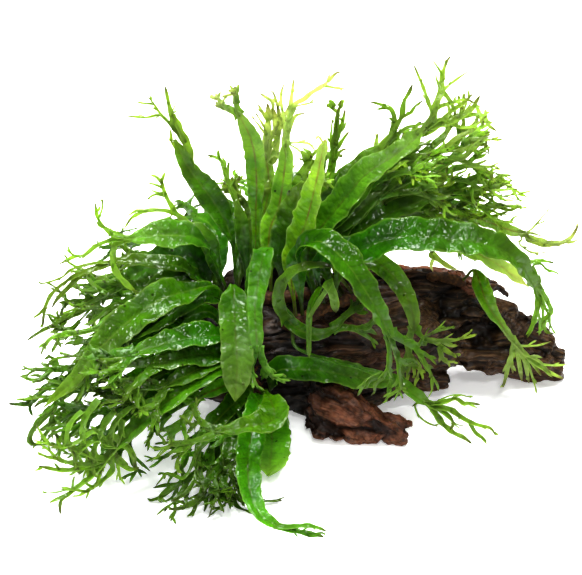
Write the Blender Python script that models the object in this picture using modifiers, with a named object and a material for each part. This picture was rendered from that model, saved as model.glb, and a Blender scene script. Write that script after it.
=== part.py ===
"""Java fern with forked frond tips, grown onto a piece of driftwood.

Frame: millimetres in the tables below, metres in Blender. +X is the plant's right, +Y its back,
+Z up. The origin is the middle of the flat underside that the driftwood trunk rests on.
"""

import math
import random
from collections import namedtuple

import bmesh
import bpy
from mathutils import Matrix, Vector, noise

MM = 0.001

# The plant is laid out as it is looked at: from the front, a little from above, so a place is
# (across, up, y): millimetres across and up the picture plane, and its depth y in the frame.
VIEW_ELEVATION = math.radians(30)
VIEW_DISTANCE = 1500.0
VIEW_CENTRE = Vector((0.0, 0.0, 57.4))

# Driftwood
SEAM = 0.5  # gap between a limb and the wood that it forks from
RIDGE_DEPTH = 0.12  # depth of the grain's ridges, as a share of the radius
LUMP_DEPTH = 0.18  # size of the lumps and hollows, as a share of the radius
HOLLOW_DEPTH = 0.25  # how far a broken end is hollowed, as a share of its half depth
BROKEN_EDGE = 0.25  # how ragged a broken end is, as a share of its half depth
SQUARENESS = 2.6  # exponent of the cross-section, where 2 is an ellipse

# Rhizomes
KNOB = 0.14  # how far every second joint swells, as a share of the radius
BLUNT = 0.35  # how far both ends taper, as a share of the radius
ROOT_GAP = 1.3  # gap between a stalk and the fullest part of its rhizome

# Fronds
LEAF_THICKNESS = 0.8
STALK_WIDTH = 1.7
FLOOR_CLEARANCE = 0.75  # height of the middle surface of a frond that lies on the floor
GUTTER = 0.16  # how far the blade's margins rise above its midrib, as a share of the width
TIP_FORK = 0.55  # where a lobe of the crest forks, as a share of its length
TIP_SPREAD = 0.19  # how far apart its tips are, as a share of its length
FACING = Vector((0.0, -0.5, 0.87))  # a blade's upper face turns this way as far as it can
TWIST = 14  # degrees by which a frond may turn about its midrib, at random
BLADE_STATIONS = (0.0, 0.14, 0.32, 0.52, 0.75, 1.0)

LEAF_COLOURS = {
    "pale": (0.26, 0.48, 0.05),
    "bright": (0.10, 0.38, 0.02),
    "mid": (0.06, 0.27, 0.012),
    "dark": (0.025, 0.13, 0.008),
    "brown": (0.12, 0.10, 0.03),
}

Ring = namedtuple("Ring", "x y z depth up down")  # centre, half depth, and reach up and down
Limb = namedtuple("Limb", "name sides rings grain seed cut_by stations")
Rhizome = namedtuple("Rhizome", "radius route")
# A frond leaves its rhizome at a share (root) of the rhizome's length. Its crest is that many
# millimetres long and starts as that many arms, spread by that many degrees to either side.
Frond = namedtuple("Frond", "name rhizome tone root width crest arms spread route")
Arm = namedtuple("Arm", "start palm half_palm lobes")
Lobe = namedtuple("Lobe", "root fork left_tip right_tip")

LIMBS = (
    Limb("driftwood_trunk", 18, 13, 5, 3, (), (
        Ring(-48, 4, 25, 14, 15, 16),
        Ring(-43, 2, 27, 20, 21, 24),
        Ring(-28, -3, 29, 27, 28, 30),
        Ring(-10, -7, 31, 31, 31, 34),
        Ring(10, -6, 32, 31, 31, 36),
        Ring(30, -4, 30, 28, 28, 33),
        Ring(52, 0, 27, 26, 25, 26),
        Ring(70, 4, 26, 22, 21, 21),
        Ring(84, 7, 28, 17, 16, 13),
        Ring(90, 7, 28, 12, 12, 9),
    )),
    Limb("driftwood_right_limb", 12, 9, 4, 11, ("driftwood_trunk",), (
        Ring(80, 7, 26, 13, 14, 12),
        Ring(92, 7, 25, 17, 20, 17),
        Ring(104, 8, 22, 16, 18, 18),
        Ring(116, 9, 18, 15, 15, 17),
        Ring(125, 9, 14, 13, 12, 15),
        Ring(132, 8, 10, 10, 8, 11),
        Ring(139, 7, 9, 7, 5, 9),
    )),
    Limb("driftwood_upper_stub", 12, 9, 3, 23, ("driftwood_trunk", "driftwood_right_limb"), (
        Ring(22, 10, 54, 9, 8, 8),
        Ring(42, 14, 54, 10, 9, 9),
        Ring(60, 16, 51, 10, 9, 9),
        Ring(74, 16, 49, 10, 9, 9),
        Ring(86, 15, 48, 9, 7, 9),
        Ring(93, 14, 49, 6, 4, 6),
    )),
    Limb("driftwood_front_limb", 12, 11, 3, 31, ("driftwood_trunk",), (
        Ring(18, -26, 17, 10, 9, 9),
        Ring(19, -37, 13, 13, 12, 14),
        Ring(27, -46, 12, 13, 12, 14),
        Ring(38, -49, 9, 10, 8, 11),
        Ring(48, -51, 6.5, 7, 5, 8),
        Ring(57, -53, 5.5, 4.5, 4, 6),
    )),
    Limb("driftwood_splinter", 8, 7, 2, 41, (
        "driftwood_trunk", "driftwood_right_limb", "driftwood_upper_stub",
    ), (
        Ring(86, 16, 36, 9, 9, 8),
        Ring(95, 19, 42, 6, 6, 6),
        Ring(101, 23, 46, 3.8, 3, 3),
        Ring(106, 25, 43, 2.6, 2.2, 2.2),
        Ring(111, 25, 38, 1, 1, 1),
    )),
    Limb("driftwood_low_stub", 9, 6, 3, 53, ("driftwood_trunk",), (
        Ring(56, -10, 14, 8, 7, 8),
        Ring(66, -13, 13, 7, 6, 7),
        Ring(74, -14, 12, 5, 4, 5),
        Ring(80, -15, 12, 3.5, 3, 3.5),
    )),
)

RHIZOMES = {
    "rhizome_crown": Rhizome(3.2, (
        (-40, -6, 50), (-32, -12, 57), (-22, -16, 60), (-10, -18, 62), (2, -18, 63), (12, -16, 64.5),
    )),
    "rhizome_front": Rhizome(3.2, (
        (-32, -24, 50), (-28, -33, 44), (-24, -38, 36), (-20, -40, 28), (-16, -39, 20), (-11, -37, 14),
    )),
    "rhizome_right": Rhizome(3.0, (
        (-4, -32, 54), (6, -30, 57), (15, -26, 60), (24, -20, 61), (33, -14, 60),
    )),
    "rhizome_stub": Rhizome(2.4, (
        (69, 9, 58.5), (75, 9, 58.5), (81, 8, 57.5), (87, 8, 55),
    )),
}

FRONDS = (
    # The fronds that show most
    Frond("frond_front_centre", "rhizome_front", "bright", 0.18, 16, 11, 2, 16,
          ((-29, 1, -38), (-28, -19, -58), (-27, -37, -72), (-28, -57, -82))),
    Frond("frond_left_big", "rhizome_front", "bright", 0.04, 16, 26, 2, 14,
          ((-37, 0, -36), (-52, -2, -48), (-65, -6, -56), (-80, -16, -64), (-97, -32, -72),
           (-110, -48, -78), (-124, -60, -82))),
    Frond("frond_bottom_front", "rhizome_front", "bright", 0.84, 13, 20, 2, 12,
          ((-18, -56, -76), (-22, -76, -102), (-23, -91, -118), (-20, -107, -134), (-12, -118, -144),
           (4, -121.5, -146), (17, -122, -147))),
    Frond("frond_left_top_bright", "rhizome_crown", "bright", 0.26, 16, 20, 3, 60,
          ((-43, 22, -30), (-62, 26, -36), (-82, 24, -40), (-104, 20, -42))),
    Frond("frond_yellow_front", "rhizome_right", "pale", 0.16, 14, 6, 2, 10,
          ((0, 13, -28), (7, 31, -31), (12, 50, -36), (15, 64, -40), (17, 74, -40))),
    Frond("frond_front_right_long", "rhizome_right", "mid", 0.24, 16, 34, 3, 36,
          ((4, 15, -38), (14, 23, -50), (27, 13, -59), (38, -3, -63), (47, -19, -65), (54, -36, -65),
           (59, -52, -62))),
    Frond("frond_right_arching", "rhizome_right", "mid", 0.54, 18, 30, 2, 16,
          ((13, 13, -30), (31, 21, -36), (54, 29, -38), (79, 28, -36), (102, 24, -32), (117, 14, -28),
           (126, -2, -24), (127, -20, -20))),
    Frond("frond_right_glossy", "rhizome_right", "mid", 0.42, 15, 36, 3, 26,
          ((9, 19, -24), (25, 42, -24), (38, 57, -22), (53, 67, -18), (67, 81, -14), (80, 113, -8))),
    Frond("frond_right_broad", "rhizome_crown", "dark", 0.84, 15, 26, 2, 28,
          ((10, 21, -17), (27, 50, -13), (39, 64, -9), (52, 75, -5), (69, 87, -1))),
    Frond("frond_tall_crest", "rhizome_crown", "pale", 0.62, 10, 32, 3, 34,
          ((-11, 26, -8), (-6, 41, -4), (-3, 61, 0), (-2, 76, 2), (4, 104, 4))),
    Frond("frond_pale_upright", "rhizome_crown", "pale", 0.48, 13, 16, 2, 18,
          ((-19, 34, -12), (-18.5, 54, -12), (-20, 70, -12), (-26, 84, -12), (-38, 100, -14))),
    Frond("frond_left_tall", "rhizome_crown", "mid", 0.34, 14, 26, 2, 24,
          ((-31, 21, -14), (-40, 42, -11), (-46, 56, -9), (-53, 72, -7), (-66, 99, -4))),
    Frond("frond_curl", "rhizome_right", "bright", 0.02, 7, 20, 2, 24,
          ((-5, -11, -46), (1, -19, -50), (9, -23, -52), (17, -23, -52), (27, -18, -50), (44, -15, -48))),
    Frond("frond_on_wood_low", "rhizome_front", "dark", 0.97, 13, 8, 2, 12,
          ((-7, -42, -46), (4, -41, -47), (17, -42, -46), (33, -45, -43), (51, -48, -40))),
    Frond("frond_low_right_crest", "rhizome_right", "mid", 0.08, 7, 34, 3, 26,
          ((4, -31, -48), (29, -39, -54), (52, -46, -58), (67, -57, -62), (101, -73, -66))),
    # The ones behind and below them
    Frond("frond_left_row_a", "rhizome_front", "mid", 0.22, 14, 22, 2, 20,
          ((-34, -24, -56), (-50, -25, -65), (-66, -29, -74), (-82, -35, -82), (-99, -48, -89))),
    Frond("frond_left_row_b", "rhizome_front", "mid", 0.28, 14, 24, 2, 20,
          ((-33, -32, -59), (-50, -34, -69), (-62, -37, -77), (-78, -43, -85), (-90, -54, -90))),
    Frond("frond_front_centre_right", "rhizome_front", "bright", 0.34, 10, 16, 2, 16,
          ((-14, 17, -39), (-17, -1, -51), (-18, -11, -58), (-17, -29, -67), (-16, -49, -73))),
    Frond("frond_bottom_short", "rhizome_front", "bright", 0.71, 14, 24, 2, 22,
          ((-11, -55, -80), (-9, -66, -101), (-25, -70, -112), (-44, -73, -114), (-58, -73, -104))),
    Frond("frond_bottom_fold", "rhizome_front", "bright", 0.90, 14, 7, 2, 16,
          ((-12, -52, -45), (-8, -66, -50), (-7, -80, -69), (-9, -94, -92))),
    Frond("frond_front_right_second", "rhizome_right", "mid", 0.62, 10, 28, 2, 26,
          ((27, 13, -27), (42, 13, -34), (55, 1, -41), (61, -14, -45), (63, -28, -45), (74, -44, -47))),
    Frond("frond_thin_strap", "rhizome_right", "brown", 0.40, 4, 5, 2, 10,
          ((15, 0, -32), (10, -9, -49), (9, -21, -58), (9, -35, -55))),
    Frond("frond_right_lower_pale", "rhizome_right", "pale", 0.95, 13, 18, 2, 16,
          ((22, 13, -14), (54, 21, -10), (79, 21, -8), (91, 18, -6), (104, 11, -4), (119, 0, -4))),
    Frond("frond_right_pale", "rhizome_right", "pale", 0.82, 10, 26, 2, 20,
          ((19, 15, -6), (54, 31, 2), (74, 36, 8), (94, 34, 10), (117, 27, 8), (143, 30, 4))),
    Frond("frond_right_e", "rhizome_right", "mid", 0.76, 14, 34, 3, 24,
          ((17, 13, -20), (39, 31, -15), (59, 41, -8), (82, 47, -2), (112, 42, 5))),
    Frond("frond_right_d", "rhizome_right", "mid", 0.64, 12, 34, 3, 26,
          ((19, 16, -8), (48, 40, 2), (67, 52, 6), (87, 60, 6), (108, 60, 0))),
    Frond("frond_right_c", "rhizome_crown", "mid", 0.92, 12, 34, 3, 28,
          ((19, 21, -19), (45, 49, -12), (64, 64, -6), (82, 70, -1), (100, 80, 6))),
    Frond("frond_right_rear_dark", "rhizome_crown", "dark", 0.70, 16, 16, 2, 20,
          ((-3, 19, -14), (1, 36, -12), (8, 54, -10), (20, 62, -8))),
    Frond("frond_brown_tip", "rhizome_crown", "brown", 0.76, 5, 18, 2, 24,
          ((9, 31, -5), (18, 51, 0), (21, 66, 4), (23, 92, 6))),
    Frond("frond_tall_crest_left", "rhizome_crown", "pale", 0.56, 8, 28, 2, 22,
          ((-14, 31, 0), (-11, 51, 6), (-13, 69, 10), (-15, 94, 12))),
    Frond("frond_left_dark_tip", "rhizome_crown", "dark", 0.42, 7, 24, 2, 22,
          ((-25, 31, -5), (-29, 50, 2), (-32, 68, 8))),
    Frond("frond_left_upper_crest", "rhizome_crown", "mid", 0.20, 7, 28, 2, 26,
          ((-43, 25, -16), (-53, 32, -16), (-60, 40, -16), (-66, 55, -15))),
    Frond("frond_left_upper_dark", "rhizome_crown", "dark", 0.10, 15, 28, 2, 24,
          ((-50, 15, -14), (-70, 11, -16), (-88, -1, -18), (-105, -15, -20))),
    # The outer ones, with their crests near the floor
    Frond("frond_low_left_a", "rhizome_front", "dark", 0.32, 13, 36, 3, 34,
          ((-37, -26, -42), (-58, -36, -46), (-80, -48, -56), (-102, -62, -70), (-118, -74, -84))),
    Frond("frond_low_left_b", "rhizome_front", "mid", 0.50, 13, 38, 3, 34,
          ((-29, -37, -63), (-52, -50, -80), (-75, -68, -96), (-97, -90, -111), (-117, -112, -127))),
    Frond("frond_low_left_c", "rhizome_front", "mid", 0.46, 13, 38, 3, 34,
          ((-34, -36, -47), (-54, -46, -60), (-76, -60, -76), (-94, -76, -91), (-106, -90, -103))),
    Frond("frond_low_left_d", "rhizome_front", "dark", 0.25, 13, 36, 3, 34,
          ((-42, -12, -35), (-64, -22, -43), (-88, -36, -49), (-112, -50, -54), (-130, -62, -55))),
    Frond("frond_low_olive", "rhizome_front", "pale", 0.56, 8, 28, 3, 30,
          ((-26, -46, -59), (-40, -52, -68), (-55, -59, -78), (-73, -69, -86))),
    Frond("frond_low_centre_a", "rhizome_front", "mid", 0.61, 10, 36, 3, 28,
          ((-25, -54, -63), (-39, -69, -82), (-48, -84, -98), (-54, -99, -111), (-63, -114, -126))),
    Frond("frond_low_centre_b", "rhizome_front", "dark", 0.73, 10, 36, 3, 28,
          ((-23, -56, -57), (-31, -71, -72), (-38, -86, -87), (-43, -101, -105), (-45, -114, -125))),
    Frond("frond_left_far_a", "rhizome_crown", "mid", 0.14, 10, 30, 2, 24,
          ((-55, 10, -26), (-83, 13, -30), (-100, 10, -34), (-120, 2, -36))),
    Frond("frond_left_far_b", "rhizome_crown", "dark", 0.02, 12, 32, 3, 26,
          ((-46, 6, -6), (-66, 3, -14), (-90, -3, -15), (-110, -15, -13), (-128, -17, -10))),
    Frond("frond_left_far_c", "rhizome_crown", "mid", 0.07, 12, 32, 3, 26,
          ((-47, -3, -20), (-67, -8, -42), (-93, -19, -58), (-113, -27, -64), (-131, -29, -66))),
    Frond("frond_left_far_d", "rhizome_front", "dark", 0.10, 13, 32, 2, 24,
          ((-36, -12, -25), (-70, -21, -28), (-98, -36, -33), (-120, -52, -43), (-140, -59, -57))),
    Frond("frond_right_hanging", "rhizome_stub", "bright", 0.85, 10, 30, 3, 26,
          ((92, 8, 6), (98, -8, -6), (106, -20, -12), (112, -30, -14), (127, -45, -18))),
    # The ones at the back
    Frond("frond_back_left_low", "rhizome_crown", "mid", 0.05, 14, 30, 2, 24,
          ((-40, 23, 15), (-60, 29, 40), (-80, 20, 62), (-92, 9, 75))),
    Frond("frond_back_left_mid", "rhizome_crown", "dark", 0.30, 14, 30, 2, 28,
          ((-25, 28, 15), (-36, 43, 35), (-44, 42, 55), (-50, 32, 73))),
    Frond("frond_back_centre", "rhizome_crown", "mid", 0.52, 15, 30, 2, 28,
          ((-5, 41, 22), (0, 55, 45), (5, 55, 68), (8, 44, 84))),
    Frond("frond_back_right_a", "rhizome_crown", "dark", 0.80, 15, 30, 2, 28,
          ((20, 41, 20), (38, 60, 42), (52, 62, 62), (64, 54, 78))),
    Frond("frond_back_right_b", "rhizome_crown", "mid", 0.97, 14, 30, 2, 28,
          ((30, 29, 20), (54, 42, 36), (78, 38, 52), (96, 26, 62))),
)


def from_view(across, up, y):
    """The point of the frame, in millimetres, seen at (across, up) and lying at depth y."""
    sin_e, cos_e = math.sin(VIEW_ELEVATION), math.cos(VIEW_ELEVATION)
    eye = VIEW_CENTRE + VIEW_DISTANCE * Vector((0, -cos_e, sin_e))
    ray = Vector((across, up * sin_e, up * cos_e)) / VIEW_DISTANCE + Vector((0, cos_e, -sin_e))
    return eye + ray * ((y - eye.y) / ray.y)


def smoothstep(low, high, value):
    share = min(1.0, max(0.0, (value - low) / (high - low)))
    return share * share * (3 - 2 * share)


def through(points, steps):
    """Catmull-Rom curve through points given as tuples of equal length, steps to a span."""
    ends = [tuple(2 * a - b for a, b in zip(points[0], points[1]))]
    ends += [tuple(p) for p in points]
    ends.append(tuple(2 * a - b for a, b in zip(points[-1], points[-2])))
    curve = []
    for p0, p1, p2, p3 in zip(ends, ends[1:], ends[2:], ends[3:]):
        for step in range(steps):
            t = step / steps
            curve.append(tuple(
                0.5 * (2 * b + (c - a) * t + (2 * a - 5 * b + 4 * c - d) * t**2
                       + (3 * b - a - 3 * c + d) * t**3)
                for a, b, c, d in zip(p0, p1, p2, p3)
            ))
    curve.append(tuple(points[-1]))
    return curve


class Line:
    """A smooth curve that can be asked for a point or a direction at a distance along it."""

    def __init__(self, points, steps=12):
        self.points = [Vector(p) for p in through([tuple(p) for p in points], steps)]
        self.at = [0.0]
        for a, b in zip(self.points, self.points[1:]):
            self.at.append(self.at[-1] + (b - a).length)
        self.length = self.at[-1]

    def point(self, distance):
        """Past either end the curve goes on straight."""
        last = len(self.at) - 1
        i = 0
        while i < last - 1 and self.at[i + 1] < distance:
            i += 1
        share = (distance - self.at[i]) / (self.at[i + 1] - self.at[i])
        return self.points[i].lerp(self.points[i + 1], share)

    def direction(self, distance):
        reach = 0.04 * self.length
        return (self.point(distance + reach) - self.point(distance - reach)).normalized()


def new_material(name, colour, roughness):
    material = bpy.data.materials.new(name)
    material.use_nodes = True
    shader = material.node_tree.nodes["Principled BSDF"]
    shader.inputs["Base Color"].default_value = (*colour, 1)
    shader.inputs["Roughness"].default_value = roughness
    shader.inputs["Metallic"].default_value = 0
    material.diffuse_color = (*colour, 1)
    return material


def new_object(name, mesh, collection, material=None):
    made = bpy.data.objects.new(name, mesh)
    collection.objects.link(made)
    if material:
        mesh.materials.append(material)
    return made


def mesh_of(name, points, faces):
    """A mesh in metres from points in millimetres."""
    mesh = bpy.data.meshes.new(name)
    mesh.from_pydata([Vector(p) * MM for p in points], [], faces)
    mesh.update()
    return mesh


# Driftwood

def weathered(radial, along, limb):
    """Radius of a limb at an angle and a share of its length, against its smooth radius."""
    ridges = math.cos(limb.grain * radial + 1.4 * math.sin(5 * along + limb.seed))
    ridges += 0.5 * math.cos((2 * limb.grain + 1) * radial - 3 * along + limb.seed)
    place = Vector((1.3 * math.cos(radial), 1.3 * math.sin(radial), 5 * along + 7 * limb.seed))
    lumps = noise.noise(place) + 0.5 * noise.noise(2.1 * place)
    square = (abs(math.cos(radial)) ** SQUARENESS + abs(math.sin(radial)) ** SQUARENESS)
    return (1 + RIDGE_DEPTH * ridges + 2 * LUMP_DEPTH * lumps) / square ** (1 / SQUARENESS)


def build_limb(limb, collection, material):
    """A limb is a loft of weathered ellipses along its centre line, with broken, hollowed ends.
    What would reach below the floor is worn flat."""
    steps = 8
    stations = through([tuple(s) for s in limb.stations], steps)
    centres = [Vector(s[:3]) for s in stations]
    points = []
    for i in range(limb.rings):
        share = i / (limb.rings - 1)
        place = share * (len(stations) - 1)
        low = min(int(place), len(stations) - 2)
        blend = place - low
        x, y, z, depth, up, down = (
            a + (b - a) * blend for a, b in zip(stations[low], stations[low + 1])
        )
        axis = (centres[low + 1] - centres[low]).normalized()
        side = Vector((0, 0, 1)).cross(axis).normalized()
        top = axis.cross(side)
        for j in range(limb.sides):
            angle = math.tau * j / limb.sides
            height = up if math.sin(angle) > 0 else down
            size = weathered(angle, share, limb)
            broken = BROKEN_EDGE * depth * noise.noise(Vector((3 * angle, limb.seed, 0)))
            at = Vector((x, y, z)) + size * (
                side * depth * math.cos(angle) + top * height * math.sin(angle)
            )
            if i in (0, limb.rings - 1):
                at += axis * broken
            at.z = max(at.z, 0.0)
            points.append(at)
    faces = []
    for i in range(limb.rings - 1):
        for j in range(limb.sides):
            k = (j + 1) % limb.sides
            row, following = i * limb.sides, (i + 1) * limb.sides
            faces.append((row + j, row + k, following + k))
            faces.append((row + j, following + k, following + j))
    first, last = limb.stations[0], limb.stations[-1]
    for row, hollow, turned in (
        (0, HOLLOW_DEPTH * first.depth, True),
        ((limb.rings - 1) * limb.sides, -HOLLOW_DEPTH * last.depth, False),
    ):
        ring = points[row:row + limb.sides]
        axis = (centres[1] - centres[0] if row == 0 else centres[-1] - centres[-2]).normalized()
        centre = sum(ring, Vector()) / limb.sides + axis * hollow
        points.append(centre)
        for j in range(limb.sides):
            k = (j + 1) % limb.sides
            face = (row + j, row + k, len(points) - 1)
            faces.append(face[::-1] if turned else face)
    return new_object(limb.name, mesh_of(limb.name, points, faces), collection, material)


def cut_clear(limb, neighbour, cutters):
    """Takes the neighbouring wood, grown by the seam, away from a limb that forks from it."""
    mesh = neighbour.data.copy()
    grown = [v.co + v.normal * SEAM * MM for v in mesh.vertices]
    for vertex, place in zip(mesh.vertices, grown):
        vertex.co = place
    cutter = new_object(f"{limb.name}_less_{neighbour.name}", mesh, cutters)
    cutter.hide_render = True
    cutter.display_type = "WIRE"
    cut = limb.modifiers.new("fork", "BOOLEAN")
    cut.operation = "DIFFERENCE"
    cut.object = cutter


def build_driftwood(collection, cutters, material):
    made = {}
    for limb in LIMBS:
        wood = made[limb.name] = build_limb(limb, collection, material)
        for name in limb.cut_by:
            cut_clear(wood, made[name], cutters)
    return made


# Rhizomes

def build_rhizome(name, rhizome, wood, collection, cutters, material):
    """A creeping stem, knobbly where old fronds stood, cut to the wood that it lies on."""
    curve = bpy.data.curves.new(name, "CURVE")
    curve.dimensions = "3D"
    curve.bevel_depth = rhizome.radius * MM
    curve.bevel_resolution = 1
    curve.use_fill_caps = True
    route = rhizome.route
    spline = curve.splines.new("POLY")
    spline.points.add(len(route) - 1)
    for i, (point, place) in enumerate(zip(spline.points, route)):
        point.co = (*(Vector(place) * MM), 1)
        point.radius = 1 + KNOB * (i % 2) - BLUNT * (i in (0, len(route) - 1))
    stem = new_object(name, curve, collection)
    bpy.context.view_layer.update()
    mesh = bpy.data.meshes.new_from_object(
        stem.evaluated_get(bpy.context.evaluated_depsgraph_get())
    )
    bpy.data.objects.remove(stem)
    shape = bmesh.new()
    shape.from_mesh(mesh)
    bmesh.ops.remove_doubles(shape, verts=shape.verts, dist=0.01 * MM)
    shape.to_mesh(mesh)
    shape.free()
    stem = new_object(name, mesh, collection, material)
    for neighbour in wood:
        cut_clear(stem, neighbour, cutters)
    return stem


# Fronds

def blade_width(frond, share):
    """Full width at a share of the blade's length, from the stalk to where the crest forks."""
    swell = smoothstep(0.02, 0.42, share)
    taper = 1 - (0.5 if frond.crest > 12 else 0.8) * smoothstep(0.6, 1.0, share)
    return STALK_WIDTH + (frond.width - STALK_WIDTH) * swell * taper


def heading_vector(heading):
    return Vector((math.cos(heading), math.sin(heading)))


def crest_plan(frond, length):
    """The crest laid flat, as arms of lobes, in (distance along the frond, offset to its left).

    The blade forks into arms. Each arm widens to a palm with two lobes, and each lobe forks once
    more at its tips.
    """
    rng = random.Random(frond.name)
    half_blade = blade_width(frond, 1.0) / 2
    arms = []
    for number in range(frond.arms):
        side = 1 - 2 * number / (frond.arms - 1)
        heading = math.radians(side * frond.spread + rng.uniform(-5, 5))
        start = Vector((length - frond.crest, side * half_blade * (frond.arms - 1) / frond.arms))
        palm = start + heading_vector(heading) * frond.crest * rng.uniform(0.34, 0.46)
        half_palm = heading_vector(heading + math.pi / 2) * max(1.1, 0.14 * frond.width)
        lobes = []
        for turn in (1, -1):
            bend = heading + math.radians(turn * (0.5 * frond.spread + rng.uniform(2, 10)))
            reach = frond.crest * rng.uniform(0.46, 0.62)
            root = palm + half_palm * turn / 2
            along = heading_vector(bend) * reach
            across = heading_vector(bend + math.pi / 2) * reach * TIP_SPREAD
            left_tip = root + along * rng.uniform(0.85, 1.1) + across
            right_tip = root + along * rng.uniform(0.85, 1.1) - across
            lobes.append(Lobe(root, root + along * TIP_FORK, left_tip, right_tip))
        arms.append(Arm(start, palm, half_palm, lobes))
    return arms


def flat_frond(frond, length):
    """The frond laid flat: (distance along, offset to the left) of each point, and its faces."""
    blade = length - frond.crest
    points, faces = [], []
    for share in BLADE_STATIONS:
        half = blade_width(frond, share) / 2
        points += [(share * blade, half), (share * blade, 0.0), (share * blade, -half)]
    rows = len(BLADE_STATIONS)
    for row in range(rows - 1):
        a = 3 * row
        faces += [(a, a + 3, a + 4, a + 1), (a + 1, a + 4, a + 5, a + 2)]
    end = 3 * (rows - 1)
    edges = [(end, end + 1), (end + 1, end + 2)]
    if frond.arms == 3:  # the middle arm stands on a short edge of its own
        half = points[end][1]
        left, right = len(points), len(points) + 1
        points += [(blade, half / 3), (blade, -half / 3)]
        faces[-2:] = [
            (end - 3, end, left, end - 2),
            (end - 2, left, right),
            (end - 2, right, end + 2, end - 1),
        ]
        edges = [(end, left), (left, right), (right, end + 2)]
    for (left, right), arm in zip(edges, crest_plan(frond, length)):
        first = len(points)
        points += [arm.palm + arm.half_palm, arm.palm, arm.palm - arm.half_palm]
        faces.append((left, first, first + 1, first + 2, right))
        for lobe, outer, inner in zip(arm.lobes, (first, first + 1), (first + 1, first + 2)):
            tips = len(points)
            points += [lobe.left_tip, lobe.fork, lobe.right_tip]
            faces += [(outer, tips, tips + 1), (outer, tips + 1, inner), (inner, tips + 1, tips + 2)]
    return points, faces


class Sheet:
    """The middle surface of a frond in the frame."""

    def __init__(self, frond):
        rhizome = RHIZOMES[frond.rhizome]
        stem = Line(rhizome.route)
        route = [from_view(*place) for place in frond.route]
        centre = stem.point(frond.root * stem.length)
        root = centre + (route[0] - centre).normalized() * (rhizome.radius * (1 + KNOB) + ROOT_GAP)
        self.midrib = Line([root] + route)
        self.half_width = frond.width / 2
        self.turned = math.radians(random.Random(frond.name).uniform(-TWIST, TWIST))

    def point(self, along, offset):
        tangent = self.midrib.direction(along)
        face = (FACING - tangent * FACING.dot(tangent)).normalized()
        face = Matrix.Rotation(self.turned, 3, tangent) @ face
        left = face.cross(tangent)
        lift = min(abs(offset), self.half_width) * 2 * GUTTER
        place = self.midrib.point(along) + left * offset + face * lift
        place.z = max(place.z, FLOOR_CLEARANCE)
        return place


def build_frond(frond, collection, material):
    sheet = Sheet(frond)
    flat, faces = flat_frond(frond, sheet.midrib.length)
    points = [sheet.point(along, offset) for along, offset in flat]
    leaf = new_object(frond.name, mesh_of(frond.name, points, faces), collection, material)
    thicken = leaf.modifiers.new("thickness", "SOLIDIFY")
    thicken.thickness = LEAF_THICKNESS * MM
    thicken.offset = 0


def main():
    for old in list(bpy.data.objects):
        bpy.data.objects.remove(old)
    plant = bpy.data.collections.new("java_fern_on_driftwood")
    cutters = bpy.data.collections.new("cutters")
    for collection in (plant, cutters):
        bpy.context.scene.collection.children.link(collection)
    bark = new_material("wet_driftwood", (0.045, 0.022, 0.014), 0.35)
    stem = new_material("rhizome_skin", (0.06, 0.07, 0.02), 0.5)
    leaves = {
        tone: new_material(f"fern_leaf_{tone}", colour, 0.25) for tone, colour in LEAF_COLOURS.items()
    }
    wood = build_driftwood(plant, cutters, bark)
    for name, rhizome in RHIZOMES.items():
        under = [wood["driftwood_upper_stub" if name == "rhizome_stub" else "driftwood_trunk"]]
        build_rhizome(name, rhizome, under, plant, cutters, stem)
    for frond in FRONDS:
        build_frond(frond, plant, leaves[frond.tone])


main()
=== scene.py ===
"""Java fern with crested frond tips on driftwood: its looks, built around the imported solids.

Frame: millimetres in the tables and in the making of each piece, metres in Blender. +X is the
plant's right, +Y its back, +Z up. A frond follows the route of its solid, and its width and crest
as far as OUTLINES, ASIDE, SHORTER and RIBBONS don't say otherwise.
"""

import math
import random
from collections import namedtuple

import bpy
import numpy as np
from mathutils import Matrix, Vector
from mathutils.bvhtree import BVHTree


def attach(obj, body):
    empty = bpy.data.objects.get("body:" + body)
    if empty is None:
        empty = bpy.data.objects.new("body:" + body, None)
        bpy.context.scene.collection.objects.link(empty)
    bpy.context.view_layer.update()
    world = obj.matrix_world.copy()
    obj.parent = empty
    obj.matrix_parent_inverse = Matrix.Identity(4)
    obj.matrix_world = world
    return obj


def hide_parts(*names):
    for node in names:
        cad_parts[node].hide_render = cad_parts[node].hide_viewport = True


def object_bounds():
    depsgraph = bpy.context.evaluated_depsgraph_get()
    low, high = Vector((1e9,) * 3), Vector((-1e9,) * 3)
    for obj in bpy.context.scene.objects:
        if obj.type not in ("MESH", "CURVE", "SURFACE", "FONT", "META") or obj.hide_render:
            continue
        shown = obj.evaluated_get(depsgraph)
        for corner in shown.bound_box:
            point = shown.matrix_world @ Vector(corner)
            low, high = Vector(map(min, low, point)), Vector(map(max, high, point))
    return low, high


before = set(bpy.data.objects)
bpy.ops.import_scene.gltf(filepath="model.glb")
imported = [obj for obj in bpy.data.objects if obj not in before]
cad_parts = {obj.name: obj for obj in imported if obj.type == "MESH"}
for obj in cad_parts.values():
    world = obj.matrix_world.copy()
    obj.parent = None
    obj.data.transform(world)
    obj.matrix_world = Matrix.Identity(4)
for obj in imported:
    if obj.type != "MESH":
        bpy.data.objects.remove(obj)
CAD_BOX = [list(corner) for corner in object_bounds()]

MM = 0.001
BODY = "root"

# The photograph's view, which the tables are laid out in: a place is (across, up, y), millimetres
# across and up the picture plane, and its depth y in the frame.
VIEW_ELEVATION = math.radians(30)
VIEW_DISTANCE = 1500.0
VIEW_CENTRE = np.array((0.0, 0.0, 57.4))
VIEW_AHEAD = np.array((0.0, math.cos(VIEW_ELEVATION), -math.sin(VIEW_ELEVATION)))
VIEW_UP = np.array((0.0, math.sin(VIEW_ELEVATION), math.cos(VIEW_ELEVATION)))
EYE = VIEW_CENTRE - VIEW_DISTANCE * VIEW_AHEAD
PHOTO_WIDTH_MM = 291.0
SENSOR_MM = 36.0

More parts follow.
